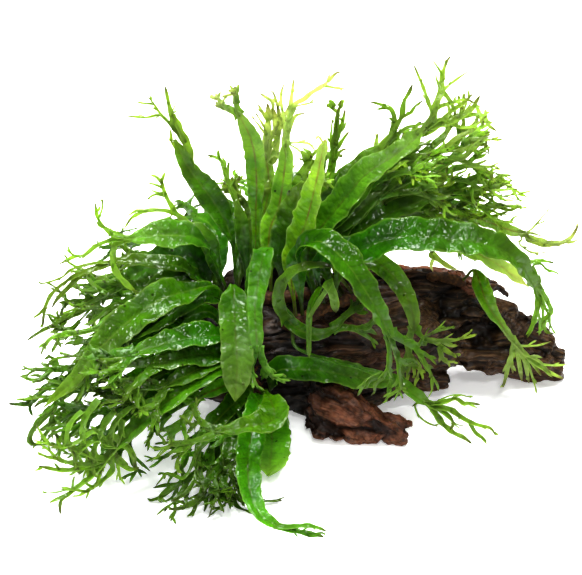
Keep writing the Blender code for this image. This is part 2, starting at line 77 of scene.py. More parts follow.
# Rhizomes
KNOB = 0.14
ROOT_GAP = 1.3

# Fronds, as in the solids
STALK_WIDTH = 1.7
GUTTER = 0.16
TIP_FORK = 0.55
TIP_SPREAD = 0.19
FACING = np.array((0.0, -0.5, 0.87))
TWIST = 14

Rhizome = namedtuple("Rhizome", "radius route")
Frond = namedtuple("Frond", "name rhizome tone root width crest arms spread route")
Arm = namedtuple("Arm", "start palm half_palm lobes")
Lobe = namedtuple("Lobe", "root fork left_tip right_tip")

RHIZOMES = {
    "rhizome_crown": Rhizome(3.2, (
        (-40, -6, 50), (-32, -12, 57), (-22, -16, 60), (-10, -18, 62), (2, -18, 63), (12, -16, 64.5),
    )),
    "rhizome_front": Rhizome(3.2, (
        (-32, -24, 50), (-28, -33, 44), (-24, -38, 36), (-20, -40, 28), (-16, -39, 20), (-11, -37, 14),
    )),
    "rhizome_right": Rhizome(3.0, (
        (-4, -32, 54), (6, -30, 57), (15, -26, 60), (24, -20, 61), (33, -14, 60),
    )),
    "rhizome_stub": Rhizome(2.4, (
        (69, 9, 58.5), (75, 9, 58.5), (81, 8, 57.5), (87, 8, 55),
    )),
}

# name, rhizome, tone, place on the rhizome, width, length of crest, arms of crest, their spread in
# degrees, route
FROND_ROWS = (
    # The fronds that show most
    ("front_centre", "front", "bright", 0.18, 16, 11, 2, 16,
          ((-29, 1, -38), (-28, -19, -58), (-27, -37, -72), (-28, -57, -82))),
    ("left_big", "front", "mid", 0.04, 16, 26, 2, 14,
          ((-37, 0, -36), (-52, -2, -48), (-65, -6, -56), (-80, -16, -64), (-97, -32, -72),
           (-110, -48, -78), (-124, -60, -82))),
    ("bottom_front", "front", "bright", 0.84, 13, 20, 2, 12,
          ((-18, -56, -76), (-22, -76, -102), (-23, -91, -118), (-20, -107, -134), (-12, -118, -144),
           (4, -121.5, -146), (17, -122, -147))),
    ("left_top_bright", "crown", "mid", 0.26, 16, 20, 3, 60,
          ((-43, 22, -30), (-62, 26, -36), (-82, 24, -40), (-104, 20, -42))),
    ("yellow_front", "right", "pale", 0.16, 14, 6, 2, 10,
          ((0, 13, -28), (7, 31, -31), (12, 50, -36), (15, 64, -40), (17, 74, -40))),
    ("front_right_long", "right", "mid", 0.24, 16, 34, 3, 36,
          ((4, 15, -38), (14, 23, -50), (27, 13, -59), (38, -3, -63), (47, -19, -65), (54, -36, -65),
           (59, -52, -62))),
    ("right_arching", "right", "dark", 0.54, 18, 30, 2, 16,
          ((13, 13, -30), (31, 21, -36), (54, 29, -38), (79, 28, -36), (102, 24, -32), (117, 14, -28),
           (126, -2, -24), (127, -20, -20))),
    ("right_glossy", "right", "bright", 0.42, 15, 36, 3, 26,
          ((9, 19, -24), (25, 42, -24), (38, 57, -22), (53, 67, -18), (67, 81, -14), (80, 113, -8))),
    ("right_broad", "crown", "dark", 0.84, 15, 26, 2, 28,
          ((10, 21, -17), (27, 50, -13), (39, 64, -9), (52, 75, -5), (69, 87, -1))),
    ("tall_crest", "crown", "pale", 0.62, 10, 32, 3, 34,
          ((-11, 26, -8), (-6, 41, -4), (-3, 61, 0), (-2, 76, 2), (4, 104, 4))),
    ("pale_upright", "crown", "pale", 0.48, 13, 16, 2, 18,
          ((-19, 34, -12), (-18.5, 54, -12), (-20, 70, -12), (-26, 84, -12), (-38, 100, -14))),
    ("left_tall", "crown", "mid", 0.34, 14, 26, 2, 24,
          ((-31, 21, -14), (-40, 42, -11), (-46, 56, -9), (-53, 72, -7), (-66, 99, -4))),
    ("curl", "right", "mid", 0.02, 7, 20, 2, 24,
          ((-5, -11, -46), (1, -19, -50), (9, -23, -52), (17, -23, -52), (27, -18, -50), (44, -15, -48))),
    ("on_wood_low", "front", "mid", 0.97, 13, 8, 2, 12,
          ((-7, -42, -46), (4, -41, -47), (17, -42, -46), (33, -45, -43), (51, -48, -40))),
    ("low_right_crest", "right", "mid", 0.08, 7, 34, 3, 26,
          ((4, -31, -48), (29, -39, -54), (52, -46, -58), (67, -57, -62), (101, -73, -66))),
    # The ones behind and below them
    ("left_row_a", "front", "dark", 0.22, 14, 22, 2, 20,
          ((-34, -24, -56), (-50, -25, -65), (-66, -29, -74), (-82, -35, -82), (-99, -48, -89))),
    ("left_row_b", "front", "dark", 0.28, 14, 24, 2, 20,
          ((-33, -32, -59), (-50, -34, -69), (-62, -37, -77), (-78, -43, -85), (-90, -54, -90))),
    ("front_centre_right", "front", "bright", 0.34, 10, 16, 2, 16,
          ((-14, 17, -39), (-17, -1, -51), (-18, -11, -58), (-17, -29, -67), (-16, -49, -73))),
    ("bottom_short", "front", "bright", 0.71, 14, 24, 2, 22,
          ((-11, -55, -80), (-9, -66, -101), (-25, -70, -112), (-44, -73, -114), (-58, -73, -104))),
    ("bottom_fold", "front", "bright", 0.90, 14, 7, 2, 16,
          ((-12, -52, -45), (-8, -66, -50), (-7, -80, -69), (-9, -94, -92))),
    ("front_right_second", "right", "bright", 0.62, 10, 28, 2, 26,
          ((27, 13, -27), (42, 13, -34), (55, 1, -41), (61, -14, -45), (63, -28, -45), (74, -44, -47))),
    ("thin_strap", "right", "bright", 0.40, 4, 5, 2, 10,
          ((15, 0, -32), (10, -9, -49), (9, -21, -58), (9, -35, -55))),
    ("right_lower_pale", "right", "pale", 0.95, 13, 18, 2, 16,
          ((22, 13, -14), (54, 21, -10), (79, 21, -8), (91, 18, -6), (104, 11, -4), (119, 0, -4))),
    ("right_pale", "right", "pale", 0.82, 10, 26, 2, 20,
          ((19, 15, -6), (54, 31, 2), (74, 36, 8), (94, 34, 10), (117, 27, 8), (143, 30, 4))),
    ("right_e", "right", "mid", 0.76, 14, 34, 3, 24,
          ((17, 13, -20), (39, 31, -15), (59, 41, -8), (82, 47, -2), (112, 42, 5))),
    ("right_d", "right", "bright", 0.64, 12, 34, 3, 26,
          ((19, 16, -8), (48, 40, 2), (67, 52, 6), (87, 60, 6), (108, 60, 0))),
    ("right_c", "crown", "bright", 0.92, 12, 34, 3, 28,
          ((19, 21, -19), (45, 49, -12), (64, 64, -6), (82, 70, -1), (100, 80, 6))),
    ("right_rear_dark", "crown", "dark", 0.70, 16, 16, 2, 20,
          ((-3, 19, -14), (1, 36, -12), (8, 54, -10), (20, 62, -8))),
    ("brown_tip", "crown", "brown", 0.76, 5, 18, 2, 24,
          ((9, 31, -5), (18, 51, 0), (21, 66, 4), (23, 92, 6))),
    ("tall_crest_left", "crown", "pale", 0.56, 8, 28, 2, 22,
          ((-14, 31, 0), (-11, 51, 6), (-13, 69, 10), (-15, 94, 12))),
    ("left_dark_tip", "crown", "dark", 0.42, 7, 24, 2, 22,
          ((-25, 31, -5), (-29, 50, 2), (-32, 68, 8))),
    ("left_upper_crest", "crown", "mid", 0.20, 7, 28, 2, 26,
          ((-43, 25, -16), (-53, 32, -16), (-60, 40, -16), (-66, 55, -15))),
    ("left_upper_dark", "crown", "dark", 0.10, 15, 28, 2, 24,
          ((-50, 15, -14), (-70, 11, -16), (-88, -1, -18), (-105, -15, -20))),
    # The outer ones, with their crests near the floor
    ("low_left_a", "front", "mid", 0.32, 13, 36, 3, 34,
          ((-37, -26, -42), (-58, -36, -46), (-80, -48, -56), (-102, -62, -70), (-118, -74, -84))),
    ("low_left_b", "front", "bright", 0.50, 13, 38, 3, 34,
          ((-29, -37, -63), (-52, -50, -80), (-75, -68, -96), (-97, -90, -111), (-117, -112, -127))),
    ("low_left_c", "front", "mid", 0.46, 13, 38, 3, 34,
          ((-34, -36, -47), (-54, -46, -60), (-76, -60, -76), (-94, -76, -91), (-106, -90, -103))),
    ("low_left_d", "front", "mid", 0.25, 13, 36, 3, 34,
          ((-42, -12, -35), (-64, -22, -43), (-88, -36, -49), (-112, -50, -54), (-130, -62, -55))),
    ("low_olive", "front", "pale", 0.56, 8, 28, 3, 30,
          ((-26, -46, -59), (-40, -52, -68), (-55, -59, -78), (-73, -69, -86))),
    ("low_centre_a", "front", "mid", 0.61, 10, 36, 3, 28,
          ((-25, -54, -63), (-39, -69, -82), (-48, -84, -98), (-54, -99, -111), (-63, -114, -126))),
    ("low_centre_b", "front", "dark", 0.73, 10, 36, 3, 28,
          ((-23, -56, -57), (-31, -71, -72), (-38, -86, -87), (-43, -101, -105), (-45, -114, -125))),
    ("left_far_a", "crown", "dark", 0.14, 10, 30, 2, 24,
          ((-55, 10, -26), (-83, 13, -30), (-100, 10, -34), (-120, 2, -36))),
    ("left_far_b", "crown", "dark", 0.02, 12, 32, 3, 26,
          ((-46, 6, -6), (-66, 3, -14), (-90, -3, -15), (-110, -15, -13), (-128, -17, -10))),
    ("left_far_c", "crown", "mid", 0.07, 12, 32, 3, 26,
          ((-47, -3, -20), (-67, -8, -42), (-93, -19, -58), (-113, -27, -64), (-131, -29, -66))),
    ("left_far_d", "front", "dark", 0.10, 13, 32, 2, 24,
          ((-36, -12, -25), (-70, -21, -28), (-98, -36, -33), (-120, -52, -43), (-140, -59, -57))),
    # the hanging frond's pale tone is partly painted light: it hangs in the shade of the fronds above
    ("right_hanging", "stub", "pale", 0.85, 10, 30, 3, 26,
          ((92, 8, 6), (98, -8, -6), (106, -20, -12), (112, -30, -14), (127, -45, -18))),
    # The ones at the back
    ("back_left_low", "crown", "mid", 0.05, 14, 30, 2, 24,
          ((-40, 23, 15), (-60, 29, 40), (-80, 20, 62), (-92, 9, 75))),
    ("back_left_mid", "crown", "dark", 0.30, 14, 30, 2, 28,
          ((-25, 28, 15), (-36, 43, 35), (-44, 42, 55), (-50, 32, 73))),
    ("back_centre", "crown", "mid", 0.52, 15, 30, 2, 28,
          ((-5, 41, 22), (0, 55, 45), (5, 55, 68), (8, 44, 84))),
    ("back_right_a", "crown", "dark", 0.80, 15, 30, 2, 28,
          ((20, 41, 20), (38, 60, 42), (52, 62, 62), (64, 54, 78))),
    ("back_right_b", "crown", "mid", 0.97, 14, 30, 2, 28,
          ((30, 29, 20), (54, 42, 36), (78, 38, 52), (96, 26, 62))),
)
FRONDS = [
    Frond(f"frond_{name}", f"rhizome_{stem}", *rest) for name, stem, *rest in FROND_ROWS
]


# Curves and noise

def unit(vectors):
    return vectors / np.linalg.norm(vectors, axis=-1, keepdims=True)


def smoothstep(low, high, value):
    share = np.clip((value - low) / (high - low), 0.0, 1.0)
    return share * share * (3 - 2 * share)


def from_view(across, up, y):
    """The point of the frame, in millimetres, seen at (across, up) and lying at depth y."""
    ray = (np.array((across, 0.0, 0.0)) + up * VIEW_UP) / VIEW_DISTANCE + VIEW_AHEAD
    return EYE + ray * ((y - EYE[1]) / ray[1])


def view_of(points):
    """Where points of the frame are seen, as (across, up) in millimetres."""
    off = points - VIEW_CENTRE
    shrink = VIEW_DISTANCE / (VIEW_DISTANCE + off @ VIEW_AHEAD)
    return np.stack((off[..., 0] * shrink, off @ VIEW_UP * shrink), axis=-1)


def part_way(pair, share):
    """What lies a share of the way from the first of a pair to the second."""
    return pair[0] + (pair[1] - pair[0]) * share


def distances(points):
    """How far along a line of points each of them lies."""
    gaps = np.linalg.norm(np.diff(points, axis=0), axis=1)
    return np.concatenate(((0.0,), np.cumsum(gaps)))


def curve_through(points, steps):
    """Catmull-Rom curve through the points, steps to a span."""
    knots = np.asarray(points, float)
    knots = np.vstack((2 * knots[0] - knots[1], knots, 2 * knots[-1] - knots[-2]))
    t = (np.arange(steps) / steps)[:, None]
    spans = [
        0.5 * (2 * b + (c - a) * t + (2 * a - 5 * b + 4 * c - d) * t**2
               + (3 * b - a - 3 * c + d) * t**3)
        for a, b, c, d in zip(knots, knots[1:], knots[2:], knots[3:])
    ]
    return np.vstack(spans + [knots[-2:-1]])


class Line:
    """A smooth curve, read at distances along it. Past either end it goes on straight."""

    RUN_ON = 90.0
    LOOK_AHEAD = 0.04  # its direction is taken over this share of its length, each way

    def __init__(self, points, steps=12):
        inner = curve_through(points, steps)
        before = inner[0] + unit(inner[0] - inner[1]) * self.RUN_ON
        after = inner[-1] + unit(inner[-1] - inner[-2]) * self.RUN_ON
        self.points = np.vstack((before, inner, after))
        self.at = distances(self.points) - self.RUN_ON
        self.length = self.at[-2]

    def point(self, distance):
        return np.stack([np.interp(distance, self.at, axis) for axis in self.points.T], axis=-1)

    def direction(self, distance):
        reach = self.LOOK_AHEAD * self.length
        return unit(self.point(distance + reach) - self.point(distance - reach))


def lattice(cells, seed):
    """Pseudo-random values from -1 to 1 on whole-numbered cells."""
    mixed = (cells * np.array((73856093, 19349663, 83492791))).sum(axis=-1) + seed * 2654435
    mixed = (mixed ^ (mixed >> 13)) * 1274126177 & 0x7FFFFFFF
    mixed = (mixed ^ (mixed >> 15)) * 668265263 & 0x7FFFFFFF
    return mixed / 0x3FFFFFFF - 1.0


def noise(points, seed=0):
    """Smooth noise, from about -1 to 1, at each row of points, with cells of 1."""
    cell = np.floor(points).astype(np.int64)
    part = points - cell
    part = part * part * (3 - 2 * part)
    total = 0.0
    for corner in np.ndindex(2, 2, 2):
        weight = np.prod(np.where(corner, part, 1 - part), axis=-1)
        total = total + weight * lattice(cell + np.array(corner), seed)
    return total


def ripple(rng, wavelength):
    """A gentle wander from about -1 to 1 along a length, as three sines of random phase."""
    waves = [(wavelength * rng.uniform(0.7, 1.6), rng.uniform(0, math.tau)) for _ in range(3)]
    return lambda at: sum(np.sin(math.tau * at / length + phase) for length, phase in waves) / 2


# Meshes and scene

def linear(hex_colour):
    """An sRGB hex colour as the linear colour that a shader takes."""
    parts = [int(hex_colour[i:i + 2], 16) / 255 for i in (1, 3, 5)]
    return (*(c / 12.92 if c <= 0.04045 else ((c + 0.055) / 1.055) ** 2.4 for c in parts), 1.0)


def new_piece(name, points, faces, material, replaced=()):
    """A mesh from points in millimetres, riding on the plant."""
    mesh = bpy.data.meshes.new(name)
    mesh.from_pydata((np.asarray(points) * MM).tolist(), [], [list(map(int, f)) for f in faces])
    mesh.update()
    mesh.shade_smooth()
    mesh.materials.append(material)
    piece = bpy.data.objects.new(name, mesh)
    bpy.context.scene.collection.objects.link(piece)
    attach(piece, BODY)
    if replaced:
        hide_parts(*replaced)
    return piece


def keep_values(piece, name, values):
    """Stores a number or a vector at each point of a mesh, for its material to read."""
    kind, key = ("FLOAT", "value") if values.ndim == 1 else ("FLOAT_VECTOR", "vector")
    layer = piece.data.attributes.new(name, kind, "POINT")
    layer.data.foreach_set(key, np.ascontiguousarray(values, np.float32).ravel())


class Patchwork:
    """Closed sheets gathered into one mesh, with where each of their points lies on the leaf."""

    def __init__(self):
        self.points, self.faces, self.flat, self.part, self.cell = [], [], [], [], []
        self.count = 0

    def add(self, grid, thickness, flat, part, cell):
        """grid, flat and part are rows by columns of vectors; the others rows by columns."""
        rows, columns = grid.shape[:2]
        normal = unit(np.cross(np.gradient(grid, axis=0), np.gradient(grid, axis=1)))
        half = normal * thickness[..., None] / 2
        top = np.arange(rows * columns).reshape(rows, columns) + self.count
        under = top + rows * columns
        quads = [
            (top[:-1, :-1], top[1:, :-1], top[1:, 1:], top[:-1, 1:]),
            (under[:-1, :-1], under[:-1, 1:], under[1:, 1:], under[1:, :-1]),
            (top[1:, 0], top[:-1, 0], under[:-1, 0], under[1:, 0]),
            (top[:-1, -1], top[1:, -1], under[1:, -1], under[:-1, -1]),
            (top[0, :-1], top[0, 1:], under[0, 1:], under[0, :-1]),
            (top[-1, 1:], top[-1, :-1], under[-1, :-1], under[-1, 1:]),
        ]
        for corners in quads:
            self.faces.append(np.stack([c.ravel() for c in corners], axis=1))
        self.points += [(grid + half).reshape(-1, 3), (grid - half).reshape(-1, 3)]
        self.flat += [flat.reshape(-1, 3)] * 2
        self.part += [part.reshape(-1, 3)] * 2
        self.cell += [cell.ravel()] * 2
        self.count += 2 * rows * columns

    def piece(self, name, material, slot, replaced=()):
        made = new_piece(
            name, np.vstack(self.points), np.vstack(self.faces), material, replaced
        )
        keep_values(made, "laid_flat", np.vstack(self.flat))
        keep_values(made, "leaf_part", np.vstack(self.part))
        keep_values(made, "vein_cell", np.concatenate(self.cell))
        return made


# Materials

def feed(tree, node, inputs):
    """Gives each socket its value, or links it to the node or socket that feeds it."""
    for key, value in dict(inputs).items():
        if isinstance(value, bpy.types.Node):
            value = value.outputs[0]
        if isinstance(value, bpy.types.NodeSocket):
            tree.links.new(value, node.inputs[key])
        else:
            node.inputs[key].default_value = value


def add(tree, kind, inputs=(), **settings):
    """Adds a node with its settings and what feeds it."""
    made = tree.nodes.new(kind)
    for key, value in settings.items():
        setattr(made, key, value)
    feed(tree, made, inputs)
    return made


def blank_material(name):
    """A new material, its nodes' tree, its shader and its output."""
    material = bpy.data.materials.new(name)
    material.use_nodes = True
    tree = material.node_tree
    return material, tree, tree.nodes["Principled BSDF"], tree.nodes["Material Output"]


Tone = namedtuple("Tone", "lamina shade vein midrib crest ends glow")
LEAF_TONES = {
    "pale": Tone("#94D018", "#66B008", "#4A8A08", "#8E6A1E", "#DCE6A0", "#7A7236", 0.46),
    "bright": Tone("#6CB408", "#448E02", "#2E6C02", "#5C7A12", "#CCE67C", "#6A6438", 0.52),
    "mid": Tone("#52A002", "#2E7000", "#1E5400", "#74A030", "#BEE066", "#5E5638", 0.48),
    # the dark tone's crest colour is lightened as painted light, for its crests that hang in shade
    "dark": Tone("#3A8202", "#1E5400", "#143A00", "#4A7420", "#B0DA50", "#4A3A2A", 0.36),
    "brown": Tone("#7CC028", "#54961A", "#2C5A08", "#6A7A24", "#A2C850", "#6E2818", 0.4),
}
FRECKLE_COLOUR = "#2E2A0E"
STALK_FOOT_COLOUR = "#3A3014"
YOUNG_GLOW = 0.2  # how much more light the palest growth lets through
WATER_IOR = 1.33


def leaf_material(name, tone):
    """Wet fern lamina, grown: a skin that is waxy in patches, under a film of water that gives
    small hard glints, on a soft green that light comes through. The newest growth is palest."""
    material, tree, shader, output = blank_material(name)
    flat = add(tree, "ShaderNodeAttribute", attribute_name="laid_flat").outputs["Vector"]
    part = add(tree, "ShaderNodeAttribute", attribute_name="leaf_part").outputs["Vector"]
    cell = add(tree, "ShaderNodeAttribute", attribute_name="vein_cell").outputs["Fac"]
    along, across, number = add(tree, "ShaderNodeSeparateXYZ", {0: flat}).outputs
    crest, age, edge = add(tree, "ShaderNodeSeparateXYZ", {0: part}).outputs
    own = add(tree, "ShaderNodeTexWhiteNoise", {"W": number}, noise_dimensions="1D")
    own_green = add(tree, "ShaderNodeSeparateColor", {0: own.outputs["Color"]}).outputs[1]

    # patterns, by the size of their cells in millimetres and their detail
    blotch, patchy, film, bloom = [
        add(tree, "ShaderNodeTexNoise", {"Vector": flat, "Scale": 1 / size, "Detail": detail})
        for size, detail in ((9.0, 3.0), (7.0, 2.0), (3.6, 1.0), (12.0, 3.0))
    ]
    net = add(tree, "ShaderNodeTexVoronoi", {"Vector": flat, "Scale": 1 / 1.5},
              feature="DISTANCE_TO_EDGE")
    freckle, bead = [
        add(tree, "ShaderNodeTexVoronoi", {"Vector": flat, "Scale": 1 / size})
        for size in (9.0, 3.4)
    ]
    bead_share = add(tree, "ShaderNodeSeparateColor", {0: bead.outputs["Color"]}).outputs[0]

    # side veins, slanting forward from the midrib, alternate on its two sides
    outward = add(tree, "ShaderNodeMath", {0: across}, operation="ABSOLUTE")
    part_of_cell = add(tree, "ShaderNodeMath", {0: cell, 1: 0.5}, operation="PINGPONG")
    blade_only = add(tree, "ShaderNodeMath", {0: 1.0, 1: crest}, operation="SUBTRACT")
    tip = add(tree, "ShaderNodeMath", {0: cell, 1: crest}, operation="MULTIPLY")

    # each row: what is read, from where to where, and what that becomes
    (vein, rib, blotched, netted, fade, margin, tips, freckled, foot, hue, value, netting, wet,
     waxy, through) = [
        add(tree, "ShaderNodeMapRange", dict(enumerate(row)))
        for row in (
            (part_of_cell, 0.0, 0.11, 1.0, 0.0),
            (outward, 0.2, 0.7, 1.0, 0.0),
            (blotch, 0.35, 0.65, 0.0, 1.0),
            (net, 0.0, 0.16, 0.16, 0.0),
            (patchy, 0.35, 0.65, 0.25, 0.75),
            (edge, 0.86, 1.0, 0.0, 0.3),
            (tip, 0.45, 0.9, 0.0, 0.75),
            (freckle, 0.05, 0.085, 0.8, 0.0),
            (along, 2.0, 16.0, 0.75, 0.0),
            (own, 0.0, 1.0, 0.487, 0.508),
            (own_green, 0.0, 1.0, 0.4, 0.64),
            (net, 0.0, 0.3, 0.0, 0.06),
            (film, 0.35, 0.65, 0.26, 0.45),
            (bloom, 0.5, 0.6, 0.0, 0.3),
            (age, 0.0, 1.0, tone.glow, tone.glow + YOUNG_GLOW),
        )
    ]
    vein, rib = [
        add(tree, "ShaderNodeMath", {0: line, 1: blade_only}, operation="MULTIPLY")
        for line in (vein, rib)
    ]
    veined, ribbed, young = [
        add(tree, "ShaderNodeMath", {0: share, 1: strength}, operation="MULTIPLY")
        for share, strength in ((vein, 0.38), (rib, fade), (age, 0.9))
    ]

    # colour: over the shade, each tint by its share
    colour = linear(tone.shade)
    for share, tint in (
        (blotched, tone.lamina), (veined, tone.vein), (netted, tone.vein), (ribbed, tone.midrib),
        (margin, tone.crest), (young, tone.crest), (tips, tone.ends), (freckled, FRECKLE_COLOUR),
        (foot, STALK_FOOT_COLOUR),
    ):
        colour = add(tree, "ShaderNodeMix", {0: share, 6: colour, 7: linear(tint)},
                     data_type="RGBA").outputs[2]
    colour = add(tree, "ShaderNodeHueSaturation", {"Hue": hue, "Value": value, "Color": colour})

    # the water film: thick in the hollows between the veins, with beads standing on it
    chosen = add(tree, "ShaderNodeMath", {0: bead_share, 1: 0.78}, operation="GREATER_THAN")
    dome = add(tree, "ShaderNodeMapRange", dict(enumerate((bead, 0.0, 0.34, 1.0, 0.0))),
               interpolation_type="SMOOTHSTEP")
    dome = add(tree, "ShaderNodeMath", {0: dome, 1: chosen}, operation="MULTIPLY")
    pillow = add(tree, "ShaderNodeMath", {0: cell, 1: math.pi}, operation="MULTIPLY")
    pillow = add(tree, "ShaderNodeMath", {0: pillow}, operation="SINE")
    pillow = add(tree, "ShaderNodeMath", {0: pillow}, operation="ABSOLUTE")
    height = add(tree, "ShaderNodeMath", {0: pillow, 1: 0.16}, operation="MULTIPLY")
    for pattern, strength in ((film, 2.3), (dome, 0.55)):
        height = add(tree, "ShaderNodeMath", {0: pattern, 1: strength, 2: height},
                     operation="MULTIPLY_ADD")
    height = add(tree, "ShaderNodeMath", {0: height, 1: netting}, operation="ADD")
    bump = add(tree, "ShaderNodeBump", {"Strength": 1.0, "Distance": 0.5 * MM, "Height": height})
    feed(tree, shader, {
        "Base Color": colour, "Normal": bump, "Coat Normal": bump, "Roughness": wet,
        "Specular IOR Level": waxy, "IOR": 1.42, "Coat Weight": 0.8, "Coat Roughness": 0.05,
        "Coat IOR": WATER_IOR,
    })

    # light from behind comes through as a yellower green
    lit = add(tree, "ShaderNodeHueSaturation", {"Hue": 0.485, "Value": 2.5, "Color": colour})
    glow = add(tree, "ShaderNodeBsdfTranslucent", {"Color": lit, "Normal": bump})
    both = add(tree, "ShaderNodeMixShader", {0: through, 1: shader.outputs[0], 2: glow})
    feed(tree, output, {"Surface": both})
    return material


def driftwood_material():
    """Waterlogged driftwood, worn by rot and water: near black, with paler fibres along the
    grain, red-brown where it has crumbled, and a broken film of water."""
    material, tree, shader, _ = blank_material("wet_driftwood")
    grain = add(tree, "ShaderNodeAttribute", attribute_name="grain_place").outputs["Vector"]
    # sunk is painted shade: a near-black share for the cracks, splits, hollows, the bored end and the
    # wood under the fronds
    sunk, red = [
        add(tree, "ShaderNodeAttribute", attribute_name=kept).outputs["Fac"]
        for kept in ("sunk", "red")
    ]
    place = add(tree, "ShaderNodeTexCoord").outputs["Object"]
    fibre, streak, crumb, puddle = [
        add(tree, "ShaderNodeTexNoise", {
            "Vector": where, "Scale": 1 / size, "Detail": detail, "Roughness": roughness})
        for where, size, detail, roughness in (
            (grain, 1.1, 4.0, 0.6), (grain, 5.0, 3.0, 0.5), (place, 2.4 * MM, 4.0, 0.5),
            (place, 3.5 * MM, 2.0, 0.5),
        )
    ]
    rust = add(tree, "ShaderNodeMath", {0: fibre, 1: 0.5}, operation="MULTIPLY")
    rust = add(tree, "ShaderNodeMath", {0: crumb, 1: 0.5, 2: rust}, operation="MULTIPLY_ADD")

    # each row: what is read, from where to where, and what that becomes
    streaked, fibre_and_sheen, rusty, shaded, wet, film = [
        add(tree, "ShaderNodeMapRange", dict(enumerate(row)))
        for row in (
            (streak, 0.36, 0.66, 0.0, 1.0),
            (fibre, 0.46, 0.72, 0.0, 0.6),
            (rust, 0.38, 0.62, 0.2, 1.0),
            (sunk, 0.15, 0.75, 0.0, 0.85),
            (crumb, 0.35, 0.65, 0.3, 0.62),
            (puddle, 0.46, 0.58, 0.0, 0.6),
        )
    ]
    rusty = add(tree, "ShaderNodeMath", {0: rusty, 1: red}, operation="MULTIPLY")
    # the last tint is the painted shade that sunk gives
    colour = linear("#100904")
    # the pale fibre tint is partly the fibres' own colour and partly a painted sheen on the raised grain
    for share, tint in (
        (streaked, "#362310"), (fibre_and_sheen, "#765A3C"), (rusty, "#86523C"), (shaded, "#040201"),
    ):
        colour = add(tree, "ShaderNodeMix", {0: share, 6: colour, 7: linear(tint)},
                     data_type="RGBA").outputs[2]
    height = add(tree, "ShaderNodeMath", {0: crumb, 1: 0.8, 2: fibre}, operation="MULTIPLY_ADD")
    bump, beads = [
        add(tree, "ShaderNodeBump", {"Strength": strength, "Distance": depth, "Height": height})
        for strength, depth in ((0.8, 0.5 * MM), (1.0, 1.0 * MM))
    ]
    feed(tree, shader, {
        "Base Color": colour, "Normal": bump, "Coat Normal": beads, "Roughness": wet, "IOR": 1.5,
        "Specular IOR Level": 0.08, "Coat Weight": film, "Coat Roughness": 0.07,
        "Coat IOR": WATER_IOR,
    })
    return material


def rhizome_material():
    """A rhizome's skin, grown: brown under dark scales, damp rather than glossy."""
    material, tree, shader, _ = blank_material("rhizome_skin")
    place = add(tree, "ShaderNodeTexCoord").outputs["Object"]
    scale = add(tree, "ShaderNodeTexVoronoi", {"Vector": place, "Scale": 1 / (1.6 * MM)})
    patch = add(tree, "ShaderNodeTexNoise", {"Vector": place, "Scale": 1 / (5 * MM), "Detail": 3.0})
    colour = linear("#3A2414")
    for row, tint in (
        ((patch, 0.4, 0.62, 0.0, 1.0), "#54381C"), ((scale, 0.3, 0.7, 0.0, 0.7), "#160C06"),
    ):
        share = add(tree, "ShaderNodeMapRange", dict(enumerate(row)))
        colour = add(tree, "ShaderNodeMix", {0: share, 6: colour, 7: linear(tint)},
                     data_type="RGBA").outputs[2]
    bump = add(tree, "ShaderNodeBump", {
        "Strength": 0.8, "Distance": 0.4 * MM, "Height": scale}, invert=True)
    feed(tree, shader, {
        "Base Color": colour, "Normal": bump, "Roughness": 0.6, "IOR": 1.45,
        "Specular IOR Level": 0.1,
    })
    return material


# Driftwood

INFLATE = 0.42  # closes the seams between the limbs' solids
WOOD_STEP = 0.85  # size of the mesh's cells
# Centre line of each limb, with its half depth: what its grain runs along
GRAIN_LINES = {
    "driftwood_trunk": ((-48, 4, 25), (-10, -7, 31), (30, -4, 30), (90, 7, 28)),
    "driftwood_right_limb": ((80, 7, 26), (104, 8, 22), (125, 9, 14), (139, 7, 9)),
    "driftwood_upper_stub": ((22, 10, 54), (60, 16, 51), (93, 14, 49)),
    "driftwood_front_limb": ((18, -26, 17), (27, -46, 12), (48, -51, 6.5), (57, -53, 5.5)),
    "driftwood_splinter": ((86, 16, 36), (101, 23, 46), (111, 25, 38)),
    "driftwood_low_stub": ((56, -10, 14), (80, -15, 12)),
}
LIMB_GIRTH = (30, 16, 9, 12, 4, 6)
UPPER_STUB, FRONT_LIMB, SPLINTER, LOW_STUB = range(2, 6)  # their places in GRAIN_LINES
# Rotted hollows, by their place in the view, their depth in y and their half sizes
HOLLOWS = ((96, -25, -13, (14, 13, 7)), (70, -8, -12, (10, 13, 5)))
HOLLOW_DEPTH = 8.5
CLEAR_OF_FLOOR = 0.02  # none of the wood is lower than this
LAYER_HEIGHT = 3.4  # of the leafy layers that the upper stub has split into
LAYER_GROOVE = 1.3  # depth of the grooves between them
DEEPEST, HIGHEST = -5.0, 1.5  # how far the surface goes in and out before the hollows
SLIM_RELIEF = 0.45  # the relief of the slim limbs, against the others'
KNOB_CRUMBS = 0.45  # height of the small crumbs on the front limb and the low stub
# The broken, hollow end of the front limb, and the way that it faces
OPEN_END = np.array((57.5, -53.0, 5.5))
OPEN_END_FACES = np.array((9.0, -2.0, -1.0))
OPEN_END_DEPTH = 4.5
# How red the wood is: in patches on most limbs, and all over the front limb and the upper stub. The upper
# stub, whose face gets little light, is made fuller red than the front limb as painted light
RED_PATCHES, RED_FRONT, STUB_RED_AND_LIGHT = 0.2, 0.65, 1.0
# the upper stub's painted shade is scaled down by this
STUB_SHADE = 0.15  # the upper stub's cracks are this dark against the others'
SHADED_LEFT = 0.55  # how far the wood under the fronds, at the left, is shaded like a crack
GRAIN_STRETCH = 9  # the grain's patterns are this much longer than wide


